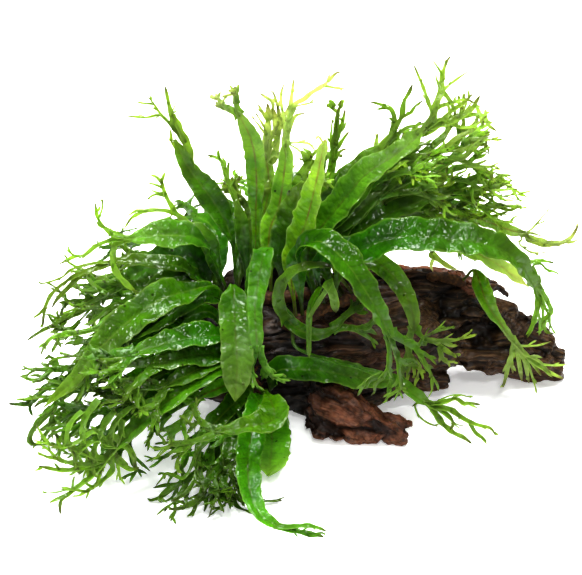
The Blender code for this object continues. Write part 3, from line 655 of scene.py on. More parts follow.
def wood_solid():
    """All limbs as one closed mesh of even cells."""
    points, faces = [], []
    for name in GRAIN_LINES:
        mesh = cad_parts[name].data
        start = len(points)
        points += [(v.co + v.normal * INFLATE * MM) for v in mesh.vertices]
        faces += [[start + i for i in face.vertices] for face in mesh.polygons]
    mesh = bpy.data.meshes.new("limbs")
    mesh.from_pydata(points, [], faces)
    limbs = bpy.data.objects.new("limbs", mesh)
    bpy.context.scene.collection.objects.link(limbs)
    welded = limbs.modifiers.new("weld", "WELD")
    welded.merge_threshold = 0.01 * MM
    cells = limbs.modifiers.new("cells", "REMESH")
    cells.mode = "VOXEL"
    cells.voxel_size = WOOD_STEP * MM
    ready = limbs.evaluated_get(bpy.context.evaluated_depsgraph_get()).to_mesh()
    places = np.empty(3 * len(ready.vertices))
    normals = np.empty(3 * len(ready.vertices))
    ready.vertices.foreach_get("co", places)
    ready.vertex_normals.foreach_get("vector", normals)
    faces = [list(face.vertices) for face in ready.polygons]
    bpy.data.objects.remove(limbs)
    return places.reshape(-1, 3) / MM, normals.reshape(-1, 3), faces


def grain_places(points):
    """For each point: its limb, its place across the grain, the grain's way and its place along."""
    nearest = np.full(len(points), np.inf)
    limb = np.zeros(len(points), int)
    axis = np.zeros_like(points)
    for number, (route, girth) in enumerate(zip(GRAIN_LINES.values(), LIMB_GIRTH)):
        line = Line(route, 10)
        for at in np.linspace(0, line.length, 24):
            distance = np.linalg.norm(points - line.point(at), axis=1) / girth
            closer = distance < nearest
            nearest[closer] = distance[closer]
            limb[closer] = number
            axis[closer] = unit(line.point(line.length) - line.point(0))
    lengthwise = (points * axis).sum(axis=1)
    crosswise = points - axis * lengthwise[:, None]
    return limb, crosswise, axis, lengthwise


def build_driftwood(material):
    """The limbs, worn into cracks along the grain, rotted hollows and crumbly knobs."""
    points, normals, faces = wood_solid()
    limb, crosswise, axis, lengthwise = grain_places(points)

    def grain(across_mm, along_mm, seed):
        """Noise whose cells have these sizes across and along the grain."""
        place = crosswise / across_mm + axis * (lengthwise / along_mm)[:, None]
        return noise(place + limb[:, None] * 17.3, seed)

    warp = np.stack([noise(points / 11, 40 + k) for k in range(3)], axis=1) * 2.0
    crosswise = crosswise + warp
    broad = grain(11, 42, 1)
    crack = (1 - np.abs(grain(7.5, 46, 2))) ** 9
    split = (1 - np.abs(grain(4.2, 30, 3))) ** 6
    fibre = grain(1.5, 17, 4)
    fine = grain(0.95, 10, 5)
    crumble = noise(points / 4.2, 6) + 0.7 * noise(points / 2.0, 7)
    patchy = smoothstep(-0.1, 0.5, noise(points / 26, 8) + 0.25)
    knob = (limb == FRONT_LIMB) | (limb == LOW_STUB)
    crumbly = np.where(knob, 0.75, 0.35 * patchy + 0.25 * smoothstep(16, 4, points[:, 2]))
    depth = (
        1.5 * broad - 3.6 * crack - 1.9 * split + 0.55 * fibre + 0.4 * fine
        + 1.4 * crumbly * crumble + 0.3
    )
    depth = np.where(knob, depth + KNOB_CRUMBS * noise(points / 1.9, 9), depth)
    slim = np.isin(limb, (SPLINTER, LOW_STUB))
    depth = np.where(slim, SLIM_RELIEF * depth, depth)
    depth = np.clip(depth, DEEPEST, HIGHEST)
    hollow = np.full(len(points), np.inf)
    for across, up, y, size in HOLLOWS:
        away = np.linalg.norm((points - from_view(across, up, y)) / size, axis=1)
        hollow = np.minimum(hollow, away + 0.25 * crumble * smoothstep(0.4, 1.0, away))
    depth -= HOLLOW_DEPTH * smoothstep(1.15, 0.45, hollow)
    layer = 1 - np.abs(np.sin(math.pi * (points[:, 2] / LAYER_HEIGHT + 0.5 * broad)))
    depth = np.where(limb == UPPER_STUB, depth - LAYER_GROOVE * layer**3, depth)
    facing = normals @ unit(OPEN_END_FACES)
    from_end = np.linalg.norm(points - OPEN_END, axis=1)
    bore = smoothstep(4.2, 2.6, from_end) * smoothstep(0.35, 0.7, facing)
    depth = np.where(limb == FRONT_LIMB, depth - OPEN_END_DEPTH * bore, depth)
    made = points + normals * depth[:, None]
    made[:, 2] = np.maximum(made[:, 2], CLEAR_OF_FLOOR)
    wood = new_piece("driftwood", made, faces, material, GRAIN_LINES)
    # painted shade, kept as sunk: the cracks, splits, hollows and bored end are darkened, and so is the
    # wood under the fronds at the left
    frond_shade = SHADED_LEFT * smoothstep(26, 4, points[:, 0])
    sunk = np.clip(crack + 0.6 * split + smoothstep(1.15, 0.6, hollow) + bore + frond_shade, 0, 1)
    sunk = np.where(limb == UPPER_STUB, STUB_SHADE * sunk, sunk)
    red = np.where(limb == UPPER_STUB, STUB_RED_AND_LIGHT, RED_PATCHES * patchy)
    red = np.where(limb == FRONT_LIMB, RED_FRONT, red)
    keep_values(wood, "sunk", sunk)
    keep_values(wood, "red", red)
    keep_values(wood, "grain_place", crosswise + axis * (lengthwise / GRAIN_STRETCH)[:, None])
    return wood


# Rhizomes

ROOTLETS = 16
ROOTLET_SIDES = 5
ROOTLET_WIDTH = 0.55
ROOTLET_STEP = 2.0
ROOTLET_LIFT = 0.1  # height of its middle over the wood
STEM_SIDES = 14
STEM_STEP = 0.7
OFF_AXIS = np.array((0.31, 0.2, 0.93))  # a way that no stem or rootlet keeps to
ROOTLET_STUCK = 0.05  # a step shorter than this, as on a sharp ridge, adds nothing to its route


def tube(points, radii, sides, grown):
    """Adds a closed tube along points to the lists in grown."""
    all_points, all_faces = grown
    ahead = unit(np.gradient(points, axis=0))
    out = unit(np.cross(ahead, OFF_AXIS))
    other = np.cross(ahead, out)
    start = sum(len(p) for p in all_points)
    angles = np.arange(sides) * math.tau / sides
    ring = out[:, None] * np.cos(angles)[:, None] + other[:, None] * np.sin(angles)[:, None]
    all_points.append((points[:, None] + ring * radii[:, :, None]).reshape(-1, 3))
    all_points.append(points[[0, -1]])
    first, last = start + len(points) * sides, start + len(points) * sides + 1
    for i in range(len(points) - 1):
        for j in range(sides):
            k = (j + 1) % sides
            a, b = start + i * sides, start + (i + 1) * sides
            all_faces.append((a + j, a + k, b + k, b + j))
    end = start + (len(points) - 1) * sides
    for j in range(sides):
        k = (j + 1) % sides
        all_faces.append((start + k, start + j, first))
        all_faces.append((end + j, end + k, last))


def build_rhizome(name, rhizome, wood, material):
    """A creeping stem, knobbly as if with old stalk bases, and its rootlets down on the wood."""
    rng = random.Random(name)
    line = Line(rhizome.route)
    at = np.arange(-1.0, line.length + 1.0, STEM_STEP)
    angle = np.arange(STEM_SIDES) * math.tau / STEM_SIDES
    place = np.stack(np.broadcast_arrays(
        at[:, None] / 2.6, 1.6 * np.cos(angle), 1.6 * np.sin(angle)), axis=-1)
    swell = 1 + 0.2 * noise(place, 3) + 0.16 * noise(place * 2.3, 4) + 0.06 * np.sin(
        math.tau * at / 6.5)[:, None]
    taper = np.sqrt(np.clip(np.minimum(at + 1.6, line.length + 1.6 - at) / 3.5, 0.05, 1))
    radii = rhizome.radius * swell * taper[:, None]
    grown = ([], [])
    tube(line.point(at), radii, STEM_SIDES, grown)
    for _ in range(ROOTLETS):
        start = line.point(rng.uniform(0.03, 0.97) * line.length)
        way = rng.uniform(0, math.tau)
        heading = np.array((math.cos(way), math.sin(way), -0.15))
        spot, route = start, [start]
        for _ in range(rng.randint(6, 13)):
            heading = unit(heading + np.array([rng.uniform(-0.35, 0.35) for _ in range(3)]))
            spot = spot + heading * ROOTLET_STEP
            found, normal, _, _ = wood.find_nearest(Vector(spot * MM))
            spot = np.array(found) / MM + np.array(normal) * ROOTLET_LIFT
            if np.linalg.norm(spot - route[-1]) > ROOTLET_STUCK:
                route.append(spot)
        root = curve_through(route, 3)
        thin = ROOTLET_WIDTH / 2 * np.linspace(1.2, 0.5, len(root))
        tube(root, np.repeat(thin[:, None], ROOTLET_SIDES, axis=1), ROOTLET_SIDES, grown)
    return new_piece(f"{name}_stem", np.vstack(grown[0]), grown[1], material, [name])


# Fronds

LAMINA_THICKNESS = 0.45  # a live blade is about this thick between its veins
STALK_THICKNESS = 1.3
MARGIN_THICKNESS = 0.3
ROW_STEP = 1.05  # spacing of the mesh's rows along a blade
COLUMN_STEP = 1.15
VEIN_SPACING = 4.4  # side veins leave the midrib this far apart
VEIN_SLANT = 0.6  # and run this far forward for each millimetre outward
QUILTING = 0.24  # how far the lamina bulges between them
PUCKER = 0.27  # height of the small round puckers of a live blade
PUCKER_SIZE = 2.9
RUFFLE = 0.085  # how far the margins wave up and down, as a share of the width
RUFFLE_LENGTH = 15.0
POINTED_CREST = 12  # a frond with a crest no longer than this ends in a plain point
FLOOR_TOUCH = 0.35  # height of the middle of a lamina that is pressed to the floor
FLOOR_SOFTNESS = 2.2
LEAFY_FROM = (0.08, 0.3)  # a stalk turns into a blade over these shares of the blade's length
WAVER, WAVER_LENGTH = 0.07, 24  # the margins' slow wander, as a share of the width
NICKS, NICK_LENGTH = 0.04, 5.5  # and their small nicks
DRIFT_LENGTH = 40  # over which the ruffles get longer and shorter
VEIN_DRIFT, VEIN_DRIFT_LENGTH = 0.55, 19
RIB_HALF_WIDTH = 0.8
RIB_SINK = 0.3
STALK_TO_LAMINA = (1.0, 3.2)  # half widths between which a round stalk becomes a thin blade
REARMOST = CAD_BOX[1][1] / MM + 1.5  # tips that would pass the back of the solids turn aside
REAR_SOFTNESS = 5.0
CLOSING = 0.6  # a blade draws in by this share, over CLOSING_LENGTH, where its crest forks
CLOSING_LENGTH = 7.0
YOUNG_END = 0.55  # how far towards the crest's colour the end of a blade goes
USUAL_PALENESS = 0.6  # the same for one that ends in a point
ROOT_SINK = 2.4  # how far a stalk goes on into its rhizome

# Shares of a blade's length where it starts to widen, is full, and starts to narrow, its width
# where the crest forks, as a share of the full width, and its full width against the solid's
Outline = namedtuple("Outline", "opens full closes end girth", defaults=(1.0,))
USUAL_OUTLINE = Outline(0.02, 0.42, 0.6, 0.5)
OUTLINES = {
    "frond_front_centre": Outline(0.34, 0.58, 0.88, 0.8),
    "frond_left_big": Outline(0.25, 0.5, 0.72, 0.42),
    "frond_left_top_bright": Outline(0.38, 0.72, 0.78, 0.16),
    "frond_pale_upright": Outline(0.1, 0.78, 0.72, 0.35, 0.82),
    "frond_left_tall": Outline(0.25, 0.56, 0.6, 0.3, 0.92),
    "frond_yellow_front": Outline(0.05, 0.5, 0.55, 0.3),
    "frond_right_arching": Outline(0.05, 0.35, 0.6, 0.4),
    "frond_thin_strap": Outline(0.05, 0.5, 0.6, 0.3, 0.75),
    "frond_back_left_mid": Outline(0.05, 0.42, 0.6, 0.5, 0.6),
    "frond_back_left_low": Outline(0.05, 0.42, 0.6, 0.5, 0.75),
    "frond_right_hanging": Outline(0.1, 0.34, 0.4, 0.34, 0.95),
    "frond_curl": Outline(0.15, 0.5, 0.6, 0.5),
    "frond_bottom_short": Outline(0.3, 0.62, 0.7, 0.25),
    "frond_bottom_front": Outline(0.1, 0.4, 0.6, 0.42),
    "frond_bottom_fold": Outline(0.1, 0.4, 0.8, 0.95, 1.3),
    "frond_on_wood_low": Outline(0.02, 0.3, 0.8, 0.65),
    "frond_low_right_crest": Outline(0.5, 0.9, 0.95, 0.9),
    "frond_front_right_long": Outline(0.02, 0.42, 0.6, 0.42),
    "frond_left_upper_crest": Outline(0.1, 0.6, 0.7, 0.5, 1.4),
    "frond_left_dark_tip": Outline(0.1, 0.6, 0.7, 0.5),
    "frond_right_lower_pale": Outline(0.4, 0.8, 0.85, 0.7),
}
# Blades that lie to one side of their solid's middle, by how many millimetres to their left in
# their lower and in their upper half, and the shares of their length over which that sets in and
# passes from one to the other
ASIDE = {
    "frond_right_arching": (-4.0, -4.0), "frond_left_tall": (-2.5, 4.0),
    "frond_bottom_fold": (-2.5, -2.5), "frond_pale_upright": (-1.5, -1.0),
    "frond_bottom_front": (2.0, 1.0),
}
ASIDE_SETS_IN = (0.05, 0.3)
ASIDE_TURNS = (0.35, 0.7)
PLAIN_ENDS = ("frond_left_big", "frond_right_lower_pale")  # these end in a point, uncrested


def blade_width(frond, share):
    """Full width of the solid's blade at a share of its length, up to where the crest forks."""
    swell = smoothstep(0.02, 0.42, share)
    taper = 1 - (0.5 if frond.crest > POINTED_CREST else 0.8) * smoothstep(0.6, 1.0, share)
    return STALK_WIDTH + (frond.width - STALK_WIDTH) * swell * taper


def lamina_width(frond, share):
    """Full width of the blade as it is drawn."""
    shape = OUTLINES.get(frond.name, USUAL_OUTLINE)
    swell = smoothstep(shape.opens, shape.full, share)
    taper = 1 - (1 - shape.end) * smoothstep(shape.closes, 1.0, share)
    return STALK_WIDTH + (shape.girth * frond.width - STALK_WIDTH) * swell * taper


def pointed(frond):
    """Whether a frond ends in a plain point, without a crest."""
    return frond.crest <= POINTED_CREST or frond.name in PLAIN_ENDS


def heading_vector(heading):
    """The way of an angle on a frond laid flat."""
    return np.array((math.cos(heading), math.sin(heading)))


def crest_plan(frond, length):
    """The solid's crest laid flat, in (distance along the frond, offset to its left), with its
    lobes drawn in as CREST_REACH and SHORTER say."""
    rng = random.Random(frond.name)
    half_blade = blade_width(frond, 1.0) / 2
    arms = []
    reach_of_all = SHORTER.get(frond.name, CREST_REACH) * frond.crest
    for number in range(frond.arms):
        side = 1 - 2 * number / (frond.arms - 1)
        heading = math.radians(side * frond.spread + rng.uniform(-5, 5))
        start = np.array((length - frond.crest, side * half_blade * (frond.arms - 1) / frond.arms))
        palm = start + heading_vector(heading) * frond.crest * rng.uniform(0.34, 0.46)
        half_palm = heading_vector(heading + math.pi / 2) * max(1.1, 0.14 * frond.width)
        lobes = []
        for turn in (1, -1):
            bend = heading + math.radians(turn * (0.5 * frond.spread + rng.uniform(2, 10)))
            reach = reach_of_all * rng.uniform(0.46, 0.62)
            root = palm + half_palm * turn / 2
            along = heading_vector(bend) * reach
            across = heading_vector(bend + math.pi / 2) * reach * TIP_SPREAD
            left_tip = root + along * rng.uniform(0.85, 1.1) + across
            right_tip = root + along * rng.uniform(0.85, 1.1) - across
            lobes.append(Lobe(root, root + along * TIP_FORK, left_tip, right_tip))
        arms.append(Arm(start, palm, half_palm, lobes))
    return arms


def midrib_of(frond):
    """A frond's line from beside its rhizome, along its route, to the end of its crest."""
    rhizome = RHIZOMES[frond.rhizome]
    stem = Line(rhizome.route)
    route = [from_view(*place) for place in frond.route]
    centre = stem.point(frond.root * stem.length)
    root = centre + unit(route[0] - centre) * (rhizome.radius * (1 + KNOB) + ROOT_GAP)
    return Line([root] + route)


def held_below(values, limit, softness):
    """The values, easing towards the limit from its softness before it."""
    start = limit - softness
    eased = limit - softness * np.exp(np.minimum(start - values, 0) / softness)
    return np.where(values > start, eased, values)


class Sheet:
    """Where each place on a frond laid flat goes in the frame."""

    def __init__(self, frond, midrib, aside=(0.0, 0.0)):
        self.midrib = midrib
        self.aside = aside
        self.length = midrib.length
        self.half_width = frond.width / 2
        self.turned = math.radians(random.Random(frond.name).uniform(-TWIST, TWIST))

    def place(self, laid):
        """laid is (along, offset to the left, height off the sheet) in its last axis."""
        along, offset, lift = laid[..., 0], laid[..., 1], laid[..., 2]
        tangent = self.midrib.direction(along)
        face = unit(FACING - tangent * (tangent @ FACING)[..., None])
        face = face * math.cos(self.turned) + np.cross(tangent, face) * math.sin(self.turned)
        left = np.cross(face, tangent)
        rounded = np.sqrt(np.minimum(np.abs(offset), self.half_width) ** 2 + 0.5) - 0.7
        height = rounded * 2 * GUTTER + lift
        share = along / self.length
        aside = part_way(self.aside, smoothstep(*ASIDE_TURNS, share))
        offset = offset + aside * smoothstep(*ASIDE_SETS_IN, share)
        made = self.midrib.point(along) + left * offset[..., None] + face * height[..., None]
        made[..., 2] = -held_below(-made[..., 2], -FLOOR_TOUCH, FLOOR_SOFTNESS)
        made[..., 1] = held_below(made[..., 1], REARMOST, REAR_SOFTNESS)
        return made


def lay_blade(frond, number, sheet, work):
    """The blade: a quilted lamina either side of a sunk midrib, with waved, nicked margins."""
    rng = random.Random(frond.name + " blade")
    blade = sheet.length - frond.crest
    end = sheet.length if pointed(frond) else blade
    along = np.linspace(-ROOT_SINK, end, max(12, round(end / ROW_STEP)))
    columns = 2 * max(3, round(frond.width / COLUMN_STEP / 2)) + 1
    v = np.sin(np.linspace(-math.pi / 2, math.pi / 2, columns))
    half = lamina_width(frond, along / blade) / 2
    if pointed(frond):
        half *= np.sqrt(1 - smoothstep(0, 1, (along - blade) / frond.crest * 0.98)) ** 1.2
    else:
        half *= 1 - CLOSING * smoothstep(blade - CLOSING_LENGTH, blade, along)
    leafy = smoothstep(*LEAFY_FROM, along / blade)
    laid = np.zeros((len(along), columns, 3))
    part = np.zeros_like(laid)
    for side in (-1, 1):
        chosen = v >= 0 if side > 0 else v < 0
        waver, drift, nick = [
            ripple(rng, length) for length in (WAVER_LENGTH, DRIFT_LENGTH, NICK_LENGTH)
        ]
        phase = rng.uniform(0, math.tau)
        margin = half * (1 + leafy * (WAVER * waver(along) + NICKS * nick(along)))
        waves = np.sin(math.tau * along / RUFFLE_LENGTH + phase + 1.5 * drift(along))
        ruffle = RUFFLE * frond.width * leafy * (0.75 * waves + 0.25 * waver(along * 1.7))
        share = np.abs(v[chosen])[None, :]
        laid[:, chosen, 1] = side * margin[:, None] * share
        laid[:, chosen, 2] = ruffle[:, None] * share**2.5
    laid[..., 0] = along[:, None]
    across = np.abs(laid[..., 1])
    uneven = ripple(rng, VEIN_DRIFT_LENGTH)
    cell = (laid[..., 0] - VEIN_SLANT * across) / VEIN_SPACING + 0.5 * (laid[..., 1] < 0)
    cell = cell + VEIN_DRIFT * uneven(laid[..., 0] - VEIN_SLANT * across + 7.0 * (laid[..., 1] < 0))
    inside = 4 * np.abs(v) * (1 - np.abs(v) ** 3)
    bulge = np.abs(np.sin(math.pi * cell)) ** 0.7 * inside
    pucker = np.abs(noise(laid * (1, 1, 0) / PUCKER_SIZE, number)) ** 0.8 * inside
    rib = np.exp(-((across / RIB_HALF_WIDTH) ** 2))
    laid[..., 2] += leafy[:, None] * (QUILTING * bulge / 2 + PUCKER * pucker - RIB_SINK * rib)
    slender = 1 - smoothstep(*STALK_TO_LAMINA, half)[:, None]
    lamina = LAMINA_THICKNESS + (MARGIN_THICKNESS - LAMINA_THICKNESS) * np.abs(v)[None, :] ** 2
    stalk = STALK_THICKNESS * (1 - 0.75 * np.abs(v)[None, :] ** 2)
    young = smoothstep(blade, sheet.length, along)[:, None]
    thickness = lamina + (stalk - lamina) * slender * (1 - young)
    pale = YOUNG_END * crest_paleness(frond, sheet)
    if pointed(frond):
        pale = PALENESS_AND_PAINTED_LIGHT.get(frond.name, USUAL_PALENESS)
    part[..., 1] = pale * (np.clip(along / end, 0, 1)**3)[:, None]
    part[..., 2] = np.abs(v)[None, :]
    flat = np.stack((laid[..., 0], laid[..., 1], np.full(laid.shape[:2], number)), axis=-1)
    work.add(sheet.place(laid), thickness, flat, part, cell)


# Crests

CREST_REACH = 0.88  # the ribbons' lobes against the solid's
SHORTER = {
    "frond_left_far_b": 0.5, "frond_left_far_c": 0.45, "frond_low_left_d": 0.6,
    "frond_pale_upright": 0.5,
}
# How pale the crests are that don't follow their height. For some that hang in shade, such as the arching
# and the hanging ones at the right, part of this paleness is painted light
PALENESS_AND_PAINTED_LIGHT = {
    "frond_right_hanging": 0.6, "frond_right_arching": 1.0, "frond_front_right_long": 0.6,
    "frond_front_right_second": 0.8, "frond_low_right_crest": 0.75, "frond_low_left_b": 0.5,
    "frond_low_left_d": 0.45, "frond_left_tall": 1.0, "frond_curl": 0.25, "frond_thin_strap": 0.4,
    "frond_right_lower_pale": 1.0, "frond_brown_tip": 1.0,
}

RIBBON_STEP = 1.35
RIBBON_THICKNESS = 0.45
TOOTH_WIDTH = 1.3
TOOTH_GAP = (5.0, 12.0)  # distance from one tooth of a ribbon's margins to the next
LEAFY_GAP = (2.6, 6.5)  # the same where ribbons are crowded
SMALL_TOOTH = (1.6, 2.8)  # lengths of the teeth
LONG_TOOTH = (3.2, 6.0)
SMALL_TEETH = 0.65  # share of the teeth that are small
RIBBON_WAVER, RIBBON_WAVER_LENGTH = 0.16, 8.0  # how a ribbon's width wanders
ROOT_ROLL, TIP_ROLL = 0.25, 0.6  # how far it is turned at its root, and twists from there
CHANNEL = 0.35  # depth of its channel, as a share of its half width
PROFILE = np.array((0.7, 1.2, 0.7))  # its thickness from margin to margin
MAIN_FORKS, SIDE_FORKS = 0.55, 0.4  # shares of a crest's ribbons whose tips fork
CURL = 0.3  # how far a ribbon bows sideways, as a share of its length
PAST_FOOT = 30.0  # ribbons are coloured as from here along a frond: past the dark foot of its stalk


def swung(direction, heading, pitch):
    """A direction on the laid-out frond, swung sideways and lifted by two angles."""
    flat = math.atan2(direction[1], direction[0]) + heading
    tilt = math.asin(max(-1, min(1, direction[2]))) + pitch
    return np.array((
        math.cos(flat) * math.cos(tilt), math.sin(flat) * math.cos(tilt), math.sin(tilt)
    ))


def bent(root, way, bend, reach):
    """The places of a short ribbon that sets off one way and halfway turns another."""
    middle = root + way * reach * 0.5
    return [root, middle, middle + bend * reach * 0.5]


def lay_ribbon(sheet, work, number, rng, route, widths, ages):
    """A channelled, twisting ribbon along a route in the laid-out frond, with a blunt tip.

    widths and ages are (at its root, at its tip). Gives its centre line and its headings.
    """
    line = curve_through(route, 6) if len(route) > 2 else np.asarray(route, float)
    at = distances(line)
    rows = max(5, round(at[-1] / RIBBON_STEP))
    share = 1 - (1 - np.linspace(0, 1, rows)) ** 1.2
    centre = np.stack([np.interp(share * at[-1], at, axis) for axis in line.T], axis=-1)
    ahead = unit(np.gradient(centre, axis=0))
    flat_side = unit(np.stack((-ahead[:, 1], ahead[:, 0], np.zeros(rows)), axis=-1) + 1e-9)
    rise = np.cross(ahead, flat_side)
    waver = ripple(rng, RIBBON_WAVER_LENGTH)
    roll = rng.uniform(-ROOT_ROLL, ROOT_ROLL) + rng.uniform(-TIP_ROLL, TIP_ROLL) * share[:, None]
    side = flat_side * np.cos(roll) + rise * np.sin(roll)
    up = np.cross(ahead, side)
    half = part_way(widths, share) / 2 * (1 + RIBBON_WAVER * waver(share * at[-1]))
    half *= np.sqrt(1.04 - share**8)
    v = np.array((-1.0, 0.0, 1.0))
    laid = centre[:, None] + side[:, None] * half[:, None, None] * v[:, None]
    laid += up[:, None] * (CHANNEL * half)[:, None, None] * (np.abs(v) - 0.5)[:, None]
    thick = np.minimum(RIBBON_THICKNESS, 0.22 + 0.2 * half)
    thickness = thick[:, None] * PROFILE
    part = np.zeros_like(laid)
    part[..., 0] = 1.0
    part[..., 1] = part_way(ages, share)[:, None]
    part[..., 2] = np.abs(v)
    flat = np.stack(
        (laid[..., 0] + PAST_FOOT, laid[..., 1], np.full(laid.shape[:2], number)), axis=-1)
    tip = np.broadcast_to((share**4)[:, None], laid.shape[:2])
    work.add(sheet.place(laid), thickness, flat, part, tip)
    return centre, ahead


def lay_strand(sheet, work, number, rng, route, widths, ages, forks=0, gap=TOOTH_GAP):
    """A ribbon with small teeth on its margins, whose tip may fork into two shorter strands."""
    centre, ahead = lay_ribbon(sheet, work, number, rng, route, widths, ages)
    at = distances(centre)
    turn = rng.choice((-1, 1))
    where = rng.uniform(*gap)
    while where < at[-1] - 1.5:
        i = int(np.searchsorted(at, where))
        age = part_way(ages, where / at[-1])
        side = swung(ahead[i], turn * rng.uniform(0.35, 0.8), rng.uniform(-0.4, 0.4))
        size = rng.uniform(*(SMALL_TOOTH if rng.random() < SMALL_TEETH else LONG_TOOTH))
        bend = swung(side, -turn * rng.uniform(0.0, 0.45), rng.uniform(-0.3, 0.3))
        lay_ribbon(sheet, work, number, rng, bent(centre[i], side, bend, size),
                   (min(TOOTH_WIDTH + 0.1 * size, 0.8 * widths[0]), 0.75), (age, age))
        turn = -turn
        where += rng.uniform(*gap)
    if not forks:
        return
    for turn in (1, -1):
        way = swung(ahead[-2], turn * rng.uniform(0.18, 0.5), rng.uniform(-0.3, 0.3))
        bend = swung(way, rng.uniform(-0.35, 0.35), rng.uniform(-0.3, 0.3))
        reach = max(3.5, at[-1] * rng.uniform(0.22, 0.45))
        root = centre[-2] - ahead[-2] * 1.2
        lay_strand(sheet, work, number, rng, bent(root, way, bend, reach),
                   (max(1.1, 0.9 * widths[1]), max(0.8, 0.65 * widths[1])),
                   (ages[1], min(1.0, ages[1] + 0.15)), forks - 1, gap)


def bowed(rng, root, tip):
    """The places of a ribbon from its root to its tip, bowed to one side."""
    way = tip - root
    aside = np.array((-way[1], way[0], 0.0)) * rng.uniform(-CURL, CURL)
    return [root + way * 0.55 + aside, tip + aside * 0.2]


def crest_paleness(frond, sheet):
    """How pale a crest is: most on the newest fronds, which stand high."""
    # the table of paleness overrides the height; for some crests in shade its value is partly painted
    # light
    by_height = 0.25 + 0.75 * smoothstep(15, 125, sheet.midrib.point(sheet.length)[2])
    return PALENESS_AND_PAINTED_LIGHT.get(frond.name, by_height)


def lay_crest(frond, number, sheet, work):
    """The crest: broad ribbons along the solid's arms, parting into its lobes and their tips."""
    rng = random.Random(frond.name + " crest")
    full = lamina_width(frond, 1.0) / frond.arms
    close = full * frond.arms / blade_width(frond, 1.0)
    pale = crest_paleness(frond, sheet)
    for arm in crest_plan(frond, sheet.length):
        sway = rng.uniform(-0.14, 0.14) * frond.crest
        start = np.array((arm.start[0], arm.start[1] * close, 0.05))
        before = start - np.array((4.0, 0.0, 0.0))
        palm = np.array((*arm.palm, sway * 0.4))
        wide = max(4.2, 1.45 * full)
        lobes = list(arm.lobes)
        rng.shuffle(lobes)
        for main, lobe in zip((True, False), lobes):
            lift = sway + rng.uniform(-0.22, 0.22) * frond.crest
            fork = np.array((*lobe.fork, 0.7 * lift))
            stray = np.array([rng.uniform(-1.5, 1.5) for _ in range(3)])
            tips = [np.array((*tip, lift + rng.uniform(-4, 4)))
                    for tip in (lobe.left_tip, lobe.right_tip)]
            rng.shuffle(tips)
            if main:
                route = [before, start, palm, fork + stray, *bowed(rng, fork + stray, tips[0])]
                widths = (max(full * 1.1, wide), 1.9)
            else:
                inner = start + (palm - start) * rng.uniform(0.3, 0.6)
                route = [inner, palm * 0.6 + np.array((*lobe.root, 0)) * 0.4,
                         *bowed(rng, fork + stray, tips[0])]
                widths = (0.85 * wide, 1.7)
            lay_strand(sheet, work, number, rng, route, widths, (0.25 * pale, 0.9 * pale),
                       int(rng.random() < MAIN_FORKS), LEAFY_GAP)
            root = palm + (fork - palm) * rng.uniform(0.3, 0.7)
            lay_strand(sheet, work, number, rng, [root, *bowed(rng, root, tips[1])],
                       (0.75 * wide, 1.5), (0.4 * pale, 0.9 * pale), int(rng.random() < SIDE_FORKS),
                       LEAFY_GAP)
            side = swung(unit(fork - palm), rng.choice((-1, 1)) * rng.uniform(0.5, 0.9), 0.0)
            reach = frond.crest * rng.uniform(0.2, 0.36)
            bend = swung(side, rng.uniform(-0.6, 0.6), rng.uniform(-0.4, 0.4))
            lay_strand(sheet, work, number, rng, bent(root, side, bend, reach),
                       (0.5 * wide, 1.1), (0.4 * pale, 0.9 * pale))


